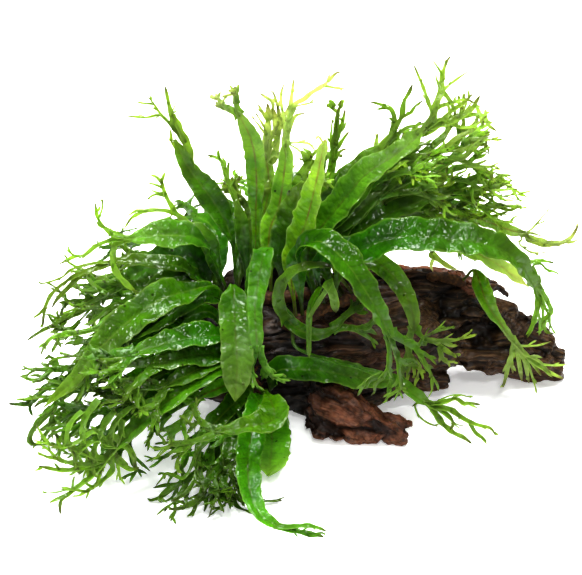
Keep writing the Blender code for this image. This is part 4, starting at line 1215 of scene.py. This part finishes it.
# Crest ribbons that stand out against the light, each by its width and its route in the view, in
# millimetres (across, up). They lie at about the depth of the frond that they grow from.
RIBBONS = {
    "frond_left_top_bright": (
        (3.0, ((-91, 27), (-96.5, 34), (-98, 42.5))),
        (1.3, ((-96, 33), (-94.5, 39), (-94, 45))),
        (2.8, ((-90, 23.6), (-97.2, 20.6), (-103.3, 16), (-108, 15.4), (-116, 11.6))),
        (1.2, ((-105, 15), (-110, 17), (-111.5, 21))),
        (3.4, ((-88, 20.8), (-88.7, 10.6), (-83.6, 2.9), (-75.3, -4.1))),
    ),
    "frond_left_tall": (
        (2.6, ((-58.5, 79.3), (-60.5, 88.8), (-63, 100.8))),
        (2.2, ((-59, 80), (-65, 86.3), (-69.5, 92.8), (-72, 96))),
        (1.6, ((-65, 86), (-72, 85), (-77, 85.3), (-84, 86))),
        (1.3, ((-68.5, 91.8), (-73, 92), (-77, 92.8))),
        (1.2, ((-59.5, 86), (-58, 91), (-56.8, 94.3))),
        (4.6, ((-50.5, 58), (-51.5, 69), (-56, 80), (-59.5, 87.5))),
        (2.2, ((-52, 60), (-55, 66), (-58.5, 71), (-60.5, 74))),
    ),
    "frond_left_dark_tip": (
        (3.0, ((-31, 50.8), (-34.5, 62.3), (-38, 65), (-42, 66.3))),
        (1.8, ((-34, 61), (-36, 65), (-36.5, 69))),
        (2.2, ((-31.5, 53), (-31.5, 59), (-31, 63))),
        (1.6, ((-30, 50.8), (-28, 54), (-26.5, 58))),
    ),
    "frond_left_upper_crest": (
        (3.0, ((-59.5, 39.8), (-63.3, 47.3), (-65, 54.8))),
        (1.6, ((-64.5, 52), (-67, 55), (-70.5, 56.5))),
        (1.6, ((-64.8, 52), (-64, 55), (-63, 57.5))),
        (1.3, ((-64.5, 50), (-68, 51.5), (-71.5, 52.3))),
        (1.4, ((-63, 47), (-67, 47.5), (-70.2, 48.8))),
        (1.4, ((-62.5, 45.5), (-68, 46.5), (-72, 44))),
        (2.4, ((-57, 36), (-63, 38.3), (-71.5, 38.3), (-79, 35.3), (-82.5, 30.8))),
        (1.4, ((-71.5, 38.3), (-77, 38.5), (-82, 35.5))),
    ),
    "frond_tall_crest": (
        (3.0, ((-1.5, 81), (1.7, 91), (6.6, 94), (10.6, 97.5), (17, 101.5), (22.5, 107.1),
               (24.7, 107.3))),
        (1.5, ((16, 101), (21.4, 100), (26.9, 99.3))),
        (1.3, ((1.2, 89.5), (7.6, 91.8), (12.3, 92.8))),
        (2.2, ((-1.8, 82), (-0.3, 91), (0.4, 97), (1.5, 104.5))),
        (1.9, ((-2.8, 81), (-4.8, 91), (-5, 96.5), (-3.5, 102))),
        (2.0, ((-1, 78), (1.7, 85), (4.2, 86.6), (7, 87))),
        (1.1, ((-0.3, 72.3), (5.7, 72.5), (10.1, 71.3), (12.3, 67.4))),
        (1.1, ((-0.3, 71.3), (3.7, 68.8), (6.8, 65))),
        (1.2, ((-1.5, 59.5), (1, 60.4), (2.4, 61.6))),
    ),
    "frond_tall_crest_left": (
        (2.6, ((-12.7, 71), (-9.2, 77.7), (-5.8, 81.7), (-3, 88))),
        (4.2, ((-12.5, 71), (-11.5, 80), (-11.2, 86.6), (-11.7, 92))),
        (2.2, ((-11.5, 83), (-14.6, 88), (-16.4, 91.5))),
        (2.0, ((-10.5, 84), (-9, 92), (-13.2, 95.5), (-15.6, 97.2))),
        (1.8, ((-7, 80), (-6.5, 89), (-8.7, 97), (-10.6, 98.5))),
        (1.3, ((-12, 77), (-15, 83), (-18, 87.8))),
        (1.3, ((-12.2, 75), (-16, 81), (-19.5, 85.3))),
        (3.8, ((-9.5, 62), (-7, 72), (-8, 82), (-9, 90))),
        (3.2, ((-4, 66), (-3, 78), (-5.5, 86), (-7, 92))),
        (2.4, ((-7, 74), (-4, 84), (0, 92))),
    ),
    "frond_brown_tip": (
        (3.4, ((22.6, 78), (23, 85), (23.9, 90))),
        (2.6, ((23.5, 87), (21.5, 89), (19.3, 91.5))),
        (3.4, ((21.5, 89.5), (19.5, 91), (17.8, 90.5))),
        (3.0, ((21.2, 90), (20, 92.5), (18.6, 93.5))),
        (2.4, ((23.8, 88), (24.6, 91), (25, 94))),
        (2.8, ((24, 90.5), (25.4, 92.5), (26.4, 94))),
        (2.4, ((22.5, 73), (25.4, 81.1), (27.1, 89))),
        (2.2, ((22, 68), (26, 74), (29, 78))),
        (1.3, ((21, 66), (19.7, 72), (20.2, 79.2), (20.7, 84.3))),
        (2.0, ((20.5, 62), (24.4, 67.8), (28, 69.5))),
    ),
    "frond_right_broad": (
        (2.8, ((50.3, 77), (51.8, 84), (49.8, 89.2), (45.4, 91.2), (39.4, 92.9))),
        (1.4, ((49.5, 89.2), (46.8, 89.7), (42.6, 89))),
        (3.0, ((51.5, 78), (55.2, 85.2), (56.7, 93.1), (59.2, 97.6), (60.7, 101.5))),
        (2.2, ((54.5, 84), (59.7, 87.2), (62.2, 90.6), (66.1, 93.6))),
        (2.2, ((48.5, 72), (56.7, 79.3), (62.7, 80.8), (69, 83))),
    ),
    "frond_right_glossy": (
        (3.8, ((70, 80), (72.5, 91.6), (75, 97), (75.5, 104), (76.5, 108), (78, 112.9),
               (79.7, 115.5))),
        (2.0, ((75.5, 106), (73, 110.4), (70.8, 113.6))),
        (1.3, ((74.8, 99), (72.8, 104), (72.3, 107))),
        (2.2, ((71, 85), (68.6, 92.6), (66.1, 100), (63.6, 106), (61.4, 111.4))),
        (1.9, ((72.3, 89), (76, 98), (81.4, 103), (88.8, 108.2))),
        (2.4, ((75.6, 98), (79.5, 93.1), (82.5, 86.5))),
        (3.6, ((70, 80), (76, 81.5), (82.9, 84.2), (90.3, 89.1), (92.8, 93.1), (94.5, 96))),
        (2.6, ((83, 84.2), (90.3, 86.2), (96.3, 85.7), (98.7, 81.2), (102.7, 78.3))),
        (2.8, ((66, 76), (73, 80), (80, 88), (86, 92), (91, 97))),
        (2.4, ((74, 90), (80, 92), (87, 94), (92, 92))),
        (2.2, ((76, 84), (84, 80), (92, 81), (98, 86))),
    ),
    "frond_right_c": (
        (3.2, ((76, 69), (83.4, 74.8), (90.3, 78.3), (93.8, 83.2))),
        (2.4, ((78, 68), (88, 69.5), (96.5, 74.3), (97.7, 70))),
    ),
    "frond_right_arching": (
        (3.0, ((121, 2), (123, -6), (122.5, -13), (120, -21), (118, -25))),
        (3.2, ((123, 2), (129, -9), (129.5, -13), (126.5, -17), (127.5, -22), (131.5, -23))),
        (2.0, ((122.5, 2), (124.5, -6), (126, -12), (125, -20))),
        (1.6, ((124, -2), (127, -10), (129.5, -16), (129, -22))),
        (1.4, ((123, -10), (124.5, -17), (124, -24))),
        (1.2, ((122.5, -14), (122, -17.8), (118.2, -21.4))),
        (1.2, ((126.7, -16), (125.4, -21.1), (122.5, -22.5))),
        (1.2, ((128.2, -15), (130.6, -20.7), (132.5, -23.5))),
        (2.0, ((118, 12), (122, 13.3), (125.8, 13.3), (131.6, 12.3))),
        (1.6, ((121, 11), (124.9, 11.8), (127.7, 9), (132.5, 7.5), (134.6, 5.4))),
    ),
    "frond_right_pale": (
        (3.0, ((118, 25), (124.9, 23.3), (130.1, 21.9), (136.3, 22.8), (140.2, 25.2),
               (143.5, 30.7))),
        (1.0, ((118, 28), (120.1, 29), (124.9, 34.3), (128.8, 38.8))),
        (1.4, ((117, 27.5), (121, 27), (125.4, 25.7))),
        (2.2, ((118, 24), (126, 21), (133, 21.5), (139, 23))),
        (1.1, ((114, 22), (120.1, 17.6), (127.7, 17.4))),
    ),
    "frond_right_lower_pale": (
        (4.0, ((69, 17), (74, 13.5), (78, 10.5), (83, 9))),
        (1.8, ((72, 16), (70, 11), (71, 8))),
    ),
    "frond_right_hanging": (
        (3.0, ((112, -28), (109, -38), (106, -50))),
        (3.2, ((113, -29), (114, -38), (115.5, -47))),
        (3.8, ((114, -30), (119, -36), (125, -44))),
        (2.8, ((118, -35), (128, -42), (136, -45.5))),
        (2.6, ((113, -28), (117, -38), (119, -48))),
        (2.6, ((112, -26), (110, -34), (111, -43))),
        (2.4, ((116, -33), (124, -37), (130, -43))),
        (1.5, ((123, -38.5), (132, -39), (139, -38.5))),
        (1.1, ((114, -29), (123, -29), (130, -27))),
        (1.3, ((118, -36), (121, -46), (123, -52.5))),
    ),
    "frond_low_right_crest": (
        (3.4, ((71.7, -59.8), (79.4, -61.3), (85.1, -65.1), (90.1, -67.8), (94.7, -69.3),
               (99.6, -70.5), (102.5, -74))),
        (2.2, ((89.2, -67.5), (92, -72.4), (95, -74.7), (98, -77))),
        (3.4, ((71, -61.3), (74.4, -66.7), (78.2, -70.5), (82, -73.2), (86.3, -75.1), (90.3, -78))),
        (2.6, ((69.8, -58.5), (77.5, -57.1), (82.4, -55.6), (86.3, -58.2), (88.9, -57.9),
               (94.5, -58.5))),
        (0.8, ((75.2, -55.8), (82.4, -53.6), (90.1, -55))),
        (2.6, ((73, -60.5), (79, -64.5), (81, -68.5), (79.5, -71))),
        (1.0, ((79.5, -66), (83, -68.5), (86.5, -69))),
        (1.5, ((68.5, -58), (64, -57.5), (60.5, -59.5))),
        (0.8, ((62, -58), (63.5, -63.5), (68, -67.5), (73.5, -69.5))),
    ),
    "frond_bottom_front": (
        (3.2, ((2.1, -119.6), (9.1, -119.3), (13.8, -120.4), (17.6, -121.8))),
        (3.4, ((2.7, -121.8), (9.1, -123.4), (13.8, -124), (16.4, -124.6))),
        (1.2, ((11, -123), (15, -122.5), (17.2, -123))),
    ),
    "frond_yellow_front": (
        (0.9, ((16, 72), (14.2, 75.3), (11.1, 75))),
    ),
    "frond_thin_strap": (
        (5.0, ((17.5, 3), (21, -4), (22.5, -12.5))),
        (2.2, ((20, 2), (14, -7), (9.5, -15), (9, -24))),
    ),
    "frond_curl": (
        (6.0, ((-3, -17), (-6.5, -8), (-5, 1), (1, 8), (10, 11), (20, 11))),
    ),
    "frond_left_far_a": (
        (2.0, ((-98, 12), (-108.9, 9.3), (-115, 4.7), (-124.2, 1.9), (-126.8, 3.2))),
        (3.0, ((-98, 9), (-108, 5.5), (-115, 0.6), (-118.6, -2.4), (-121.2, -6), (-123.2, -11.6),
               (-124.2, -19.8))),
        (1.6, ((-122.8, -10), (-125.5, -13), (-128.8, -15.2))),
        (3.4, ((-105, 6), (-112, -1), (-117, -6), (-119.5, -10))),
    ),
    "frond_left_far_b": (
        (2.6, ((-100, -9), (-112.5, -14.7), (-118.6, -18.8), (-124.7, -21.8), (-132.4, -26.7))),
    ),
    "frond_left_far_c": (
        (2.6, ((-108, -23), (-118.1, -24.4), (-122.7, -28.5), (-125.2, -33.6))),
        (1.6, ((-122, -28), (-125, -29.2), (-126.5, -30.5))),
        (1.4, ((-112, -22), (-116, -24), (-117.6, -29.5))),
    ),
    "frond_left_far_d": (
        (3.6, ((-115, -46), (-121, -48.9), (-126.1, -53.5), (-130.7, -58), (-136.9, -58.6),
               (-141.4, -58.3))),
        (1.2, ((-129.7, -57), (-132.5, -56.5), (-135, -55.5))),
        (2.0, ((-128.5, -56), (-130.7, -60), (-129.2, -64.4))),
    ),
    "frond_low_left_d": (
        (3.0, ((-104, -46), (-116, -57), (-123.6, -65.7), (-128.2, -70.3), (-130.2, -74.4),
               (-129.2, -78.5), (-124.6, -84.1))),
        (1.4, ((-127, -81), (-123.6, -82.6), (-118, -84.3))),
        (3.6, ((-108, -58), (-117, -67), (-123, -75), (-121, -84))),
        (3.4, ((-106, -60), (-113, -72), (-111, -82), (-105, -87))),
        (3.0, ((-112, -62), (-120, -68), (-126, -72))),
        (4.2, ((-110, -50), (-117, -58), (-120, -68), (-116, -76))),
        (4.0, ((-120, -60), (-127, -68), (-131, -76), (-128, -83))),
    ),
    "frond_low_left_b": (
        (3.9, ((-94, -88), (-99.6, -94.8), (-105.7, -99.4), (-110.8, -103.5), (-114.9, -107),
               (-115.4, -113.2))),
        (2.2, ((-111.5, -103.5), (-117, -106), (-121, -107.7))),
        (1.0, ((-109.5, -102), (-108.8, -95.8), (-107.8, -94.3))),
        (0.9, ((-111, -100.9), (-119, -102.7), (-129.2, -102.7))),
        (4.2, ((-93, -86), (-102.2, -88.7), (-109.8, -87.7), (-114.9, -86.6), (-119, -84.5))),
        (3.0, ((-95, -89), (-108.8, -91.2), (-117, -91.2), (-126.1, -89.3))),
        (4.6, ((-92, -84), (-89, -91), (-96, -98), (-104, -103))),
        (3.4, ((-93, -86), (-100, -84), (-108, -81), (-113, -79))),
        (3.4, ((-90, -84), (-84, -89), (-80, -91), (-76, -90))),
        (3.6, ((-96, -76), (-104, -80), (-108, -86), (-106, -93))),
        (4.6, ((-88, -62), (-94, -70), (-98, -80), (-100, -90))),
        (4.6, ((-96, -56), (-103, -66), (-104, -77), (-101, -86))),
        (4.2, ((-84, -66), (-86, -76), (-92, -86), (-96, -94))),
        (4.0, ((-98, -72), (-108, -78), (-116, -80), (-122, -78))),
        (4.4, ((-80, -60), (-88, -68), (-90, -78), (-86, -86))),
        (3.8, ((-90, -74), (-83, -79), (-79, -84), (-78, -90))),
        (4.2, ((-104, -62), (-110, -68), (-112, -77), (-108, -84))),
    ),
    "frond_low_centre_a": (
        (3.2, ((-47, -88), (-44, -100), (-48.1, -107), (-55.7, -110.4), (-61.1, -111))),
        (2.0, ((-47, -105.5), (-48.7, -112), (-52.2, -115.1))),
        (2.0, ((-49, -88), (-54, -95.6), (-61.7, -92.7), (-64, -95), (-67.6, -99.2))),
        (2.4, ((-47, -93), (-51, -101), (-56, -105), (-60, -107))),
    ),
    "frond_low_centre_b": (
        (2.2, ((-36, -90), (-37.5, -100), (-38.7, -108), (-41, -114.4))),
    ),
}
# These have ribbons of the usual kind as well
FULL_CRESTS = (
    "frond_right_c", "frond_left_far_b", "frond_low_left_d",
    "frond_low_centre_b", "frond_curl",
)
LACY = (  # crests whose broad ribbons part again, into many small ones
    "frond_low_left_b", "frond_low_left_d", "frond_low_centre_a", "frond_low_centre_b",
)
BROAD = 4.0
LACY_WIDTH = 0.8  # how wide these are drawn, against RIBBONS, and all others
OWN_WIDTH = 1.1
RIBBON_STRAY = 4.5  # how far a ribbon wanders in depth, over RIBBON_SWING of its view
RIBBON_SWING = 15.0
STRAY_SETS_IN = (2, 12)  # how far past the blade's end, in millimetres
TALLEST = CAD_BOX[1][2] / MM + 1.5  # what would stand higher leans back, along the line of sight
LEAN_BACK = 1.75  # by this much for each millimetre
JOIN_REACH = 16.0  # a ribbon that starts this near the blade's end grows out of the blade


def in_depth(route, line, blade):
    """A ribbon's route in the frame, at the depth of its frond's line past the blade's end."""
    along = np.linspace(0.6 * blade, line.length + 25, 90)
    spine = line.point(along)
    seen = view_of(spine)
    places = []
    for across, up in route:
        near = int(np.argmin(np.linalg.norm(seen - (across, up), axis=1)))
        away = np.linalg.norm(seen[near] - (across, up))
        past_end = away + along[near] - blade
        stray = noise(np.array((across, up, 0)) / RIBBON_SWING, 9)
        y = spine[near, 1] + RIBBON_STRAY * stray * smoothstep(*STRAY_SETS_IN, past_end)
        place = from_view(across, up, y)
        if place[2] > TALLEST:
            place = from_view(across, up, y + (place[2] - TALLEST) * LEAN_BACK)
        places.append(place)
    return places


def lay_own_ribbons(frond, number, midrib, work):
    """The ribbons that RIBBONS gives for a frond, each on a line of its own."""
    rng = random.Random(frond.name + " ribbons")
    blade = midrib.length - (0 if pointed(frond) else frond.crest)
    end = midrib.point(blade)
    before = midrib.point(blade - 4.0)
    sheet = Sheet(frond, midrib)
    pale = crest_paleness(frond, sheet)
    for width, route in RIBBONS[frond.name]:
        places = in_depth(route, midrib, blade)
        joined = np.linalg.norm(places[0] - end) < JOIN_REACH and np.hypot(
            *(view_of(end) - route[0])) < JOIN_REACH
        root = [before, (end + places[0]) / 2] if joined else []
        line = Line(root + places, 8)
        strip = Sheet(frond, line)
        middle = line.length / 2
        lacy = frond.name in LACY and width >= BROAD
        wide = width * (LACY_WIDTH if lacy else OWN_WIDTH)
        lay_strand(strip, work, number, rng, [(0, 0, 0), (middle, 0, 0), (line.length, 0, 0)],
                   (wide, max(0.9, 0.6 * wide)), (0.6 * pale, min(1.0, 1.1 * pale)),
                   int(lacy), LEAFY_GAP if lacy else TOOTH_GAP)


def grow_frond(number, frond, midrib, materials, replaced=()):
    """A frond's blade and crest, as one piece."""
    sheet = Sheet(frond, midrib, ASIDE.get(frond.name, (0.0, 0.0)))
    work = Patchwork()
    lay_blade(frond, number, sheet, work)
    if frond.name in RIBBONS:
        lay_own_ribbons(frond, number, midrib, work)
    if not pointed(frond) and (frond.name not in RIBBONS or frond.name in FULL_CRESTS):
        lay_crest(frond, number, sheet, work)
    work.piece(f"{frond.name}_leaf", materials[frond.tone], f"leaf_{frond.tone}", replaced)


# Narrow fronds in the gaps, past what the solids hold: each grows beside the first frond named and
# ends part of the way from it to the second
BETWEEN = (
    ("frond_left_upper_dark", "frond_left_far_c", 0.5, "dark", 12),
    ("frond_left_far_b", "frond_left_far_c", 0.5, "mid", 11),
    ("frond_left_far_d", "frond_left_big", 0.5, "dark", 13),
    ("frond_left_big", "frond_low_left_d", 0.6, "dark", 13),
    ("frond_left_row_a", "frond_low_left_a", 0.5, "mid", 12),
    ("frond_low_left_a", "frond_low_left_c", 0.5, "dark", 13),
    ("frond_left_row_b", "frond_low_left_b", 0.5, "mid", 12),
    ("frond_low_centre_a", "frond_low_centre_b", 0.5, "mid", 10),
    ("frond_low_centre_b", "frond_bottom_short", 0.5, "mid", 10),
    ("frond_low_centre_b", "frond_bottom_front", 0.4, "dark", 10),
    ("frond_right_c", "frond_right_d", 0.5, "mid", 10),
    ("frond_right_d", "frond_right_e", 0.5, "mid", 10),
    ("frond_right_glossy", "frond_right_c", 0.5, "dark", 11),
    ("frond_right_e", "frond_right_pale", 0.5, "mid", 10),
    ("frond_right_broad", "frond_right_c", 0.5, "mid", 11),
    ("frond_right_glossy", "frond_right_e", 0.5, "mid", 10),
    ("frond_left_dark_tip", "frond_tall_crest_left", 0.4, "mid", 8),
    ("frond_back_left_mid", "frond_back_centre", 0.5, "mid", 12),
    ("frond_back_centre", "frond_back_right_a", 0.5, "mid", 12),
    ("frond_back_right_a", "frond_back_right_b", 0.5, "dark", 12),
    ("frond_back_left_low", "frond_back_left_mid", 0.5, "mid", 12),
    ("frond_back_left_low", "frond_left_far_b", 0.5, "dark", 12),
    ("frond_back_right_b", "frond_right_lower_pale", 0.5, "mid", 11),
)
GAP_FROND_REACH = 0.78
GAP_FROND_CREST = 20  # the least length of its crest
GAP_FROND_SPREAD = 26
GAP_FROND_SHIFT = np.array((0.8, 0.0, 0.0))  # its root, beside the first frond's


def fill_between(materials):
    """The narrow fronds of BETWEEN."""
    by_name = {frond.name: frond for frond in FRONDS}
    for number, (beside, towards, share, tone, width) in enumerate(BETWEEN):
        first, second = by_name[beside], by_name[towards]
        lines = [midrib_of(first), midrib_of(second)]
        route = []
        for reached in np.linspace(0, GAP_FROND_REACH, 7):
            a, b = (line.point(reached * line.length) for line in lines)
            route.append(a + (b - a) * share * smoothstep(0.0, 0.45, reached))
        route[0] = route[0] + GAP_FROND_SHIFT
        crest = max(GAP_FROND_CREST, min(first.crest, second.crest))
        frond = first._replace(name=f"small_frond_{number + 1:02d}", tone=tone, width=width,
                               crest=crest, arms=2 + number % 2, spread=GAP_FROND_SPREAD)
        grow_frond(len(FRONDS) + number, frond, Line(route), materials)


# Stage: a plain pale floor, soft lights all round and a camera where the photograph's was

# Each light's place and the side of its square, in metres, and its power in watts
LIGHTS = {
    "overhead_panel": ((0.0, 0.1, 1.8), 2.4, 5),
    "front_panel": ((-0.9, -1.0, 0.8), 1.6, 7),
    "softbox": ((-0.1, 0.12, 1.15), 0.36, 22),
    "left_light": ((-0.45, -0.1, 0.95), 0.13, 6.0),
    "right_light": ((0.42, -0.1, 0.95), 0.13, 6.0),
    "front_light": ((0.15, -1.0, 1.1), 0.2, 7.0),
    "back_light": ((0.1, 0.6, 0.85), 0.25, 7.0),
}
# Small lights kept out of all diffuse light, so that they show only as hard glints in the wet
SPARKLES = (
    (-0.85, -0.95, 0.8), (0.85, -0.95, 0.8), (0.0, -1.35, 0.5), (-0.4, -0.7, 1.2), (0.5, -0.6, 1.2),
)
SPARKLE_SIZE = 0.12
SPARKLE_POWER = 4.5
LIT_PLACE = (0, 0, 0.05)  # what all of them point at
FLOOR_REACH = 6.0


def aimed(made, place, target):
    """Puts a light or a camera in the scene, pointing at its target."""
    made.location = Vector(place)
    made.rotation_euler = (Vector(target) - made.location).to_track_quat("-Z", "Y").to_euler()
    bpy.context.scene.collection.objects.link(made)


def soft_light(name, place, size, power):
    """A square light, pointing at the plant."""
    lamp = bpy.data.lights.new(name, "AREA")
    lamp.size = size
    lamp.energy = power
    light = bpy.data.objects.new(name, lamp)
    aimed(light, place, LIT_PLACE)
    return light


def build_stage():
    scene = bpy.context.scene
    lens = bpy.data.cameras.new("camera")
    lens.sensor_width = SENSOR_MM
    lens.lens = SENSOR_MM * VIEW_DISTANCE / PHOTO_WIDTH_MM
    lens.clip_start = 0.05
    lens.clip_end = 20
    camera = bpy.data.objects.new("camera", lens)
    aimed(camera, EYE * MM, VIEW_CENTRE * MM)
    scene.camera = camera

    for name, light in LIGHTS.items():
        soft_light(name, *light)
    for number, place in enumerate(SPARKLES):
        sparkle = soft_light(f"sparkle_{number}", place, SPARKLE_SIZE, SPARKLE_POWER)
        sparkle.visible_diffuse = False
    world = bpy.data.worlds.new("studio")
    world.use_nodes = True
    backdrop = world.node_tree.nodes["Background"]
    feed(world.node_tree, backdrop, {"Color": linear("#FFFFFF"), "Strength": 0.12})
    scene.world = world
    # the photograph's own contrast: its darks are deeper than a plain exposure gives
    scene.view_settings.view_transform = "Standard"
    scene.view_settings.gamma = 0.85
    scene.view_settings.exposure = 0.1

    mesh = bpy.data.meshes.new("floor")
    corners = ((-1, -1), (1, -1), (1, 1), (-1, 1))
    mesh.from_pydata([(x * FLOOR_REACH, y * FLOOR_REACH, 0) for x, y in corners], [], [range(4)])
    floor = bpy.data.objects.new("floor", mesh)
    scene.collection.objects.link(floor)
    paper, tree, shader, _ = blank_material("white_paper")
    feed(tree, shader, {
        "Base Color": linear("#FAFAFA"), "Roughness": 0.5, "Emission Color": linear("#FFFFFF"),
        "Emission Strength": 0.4,
    })
    mesh.materials.append(paper)


build_stage()
leaves = {name: leaf_material(f"wet_fern_leaf_{name}", tone) for name, tone in LEAF_TONES.items()}
wood = build_driftwood(driftwood_material())
surface = BVHTree.FromPolygons(
    [v.co for v in wood.data.vertices], [f.vertices for f in wood.data.polygons])
skin = rhizome_material()
for name, rhizome in RHIZOMES.items():
    build_rhizome(name, rhizome, surface, skin)
for number, frond in enumerate(FRONDS):
    grow_frond(number, frond, midrib_of(frond), leaves, [frond.name])
fill_between(leaves)
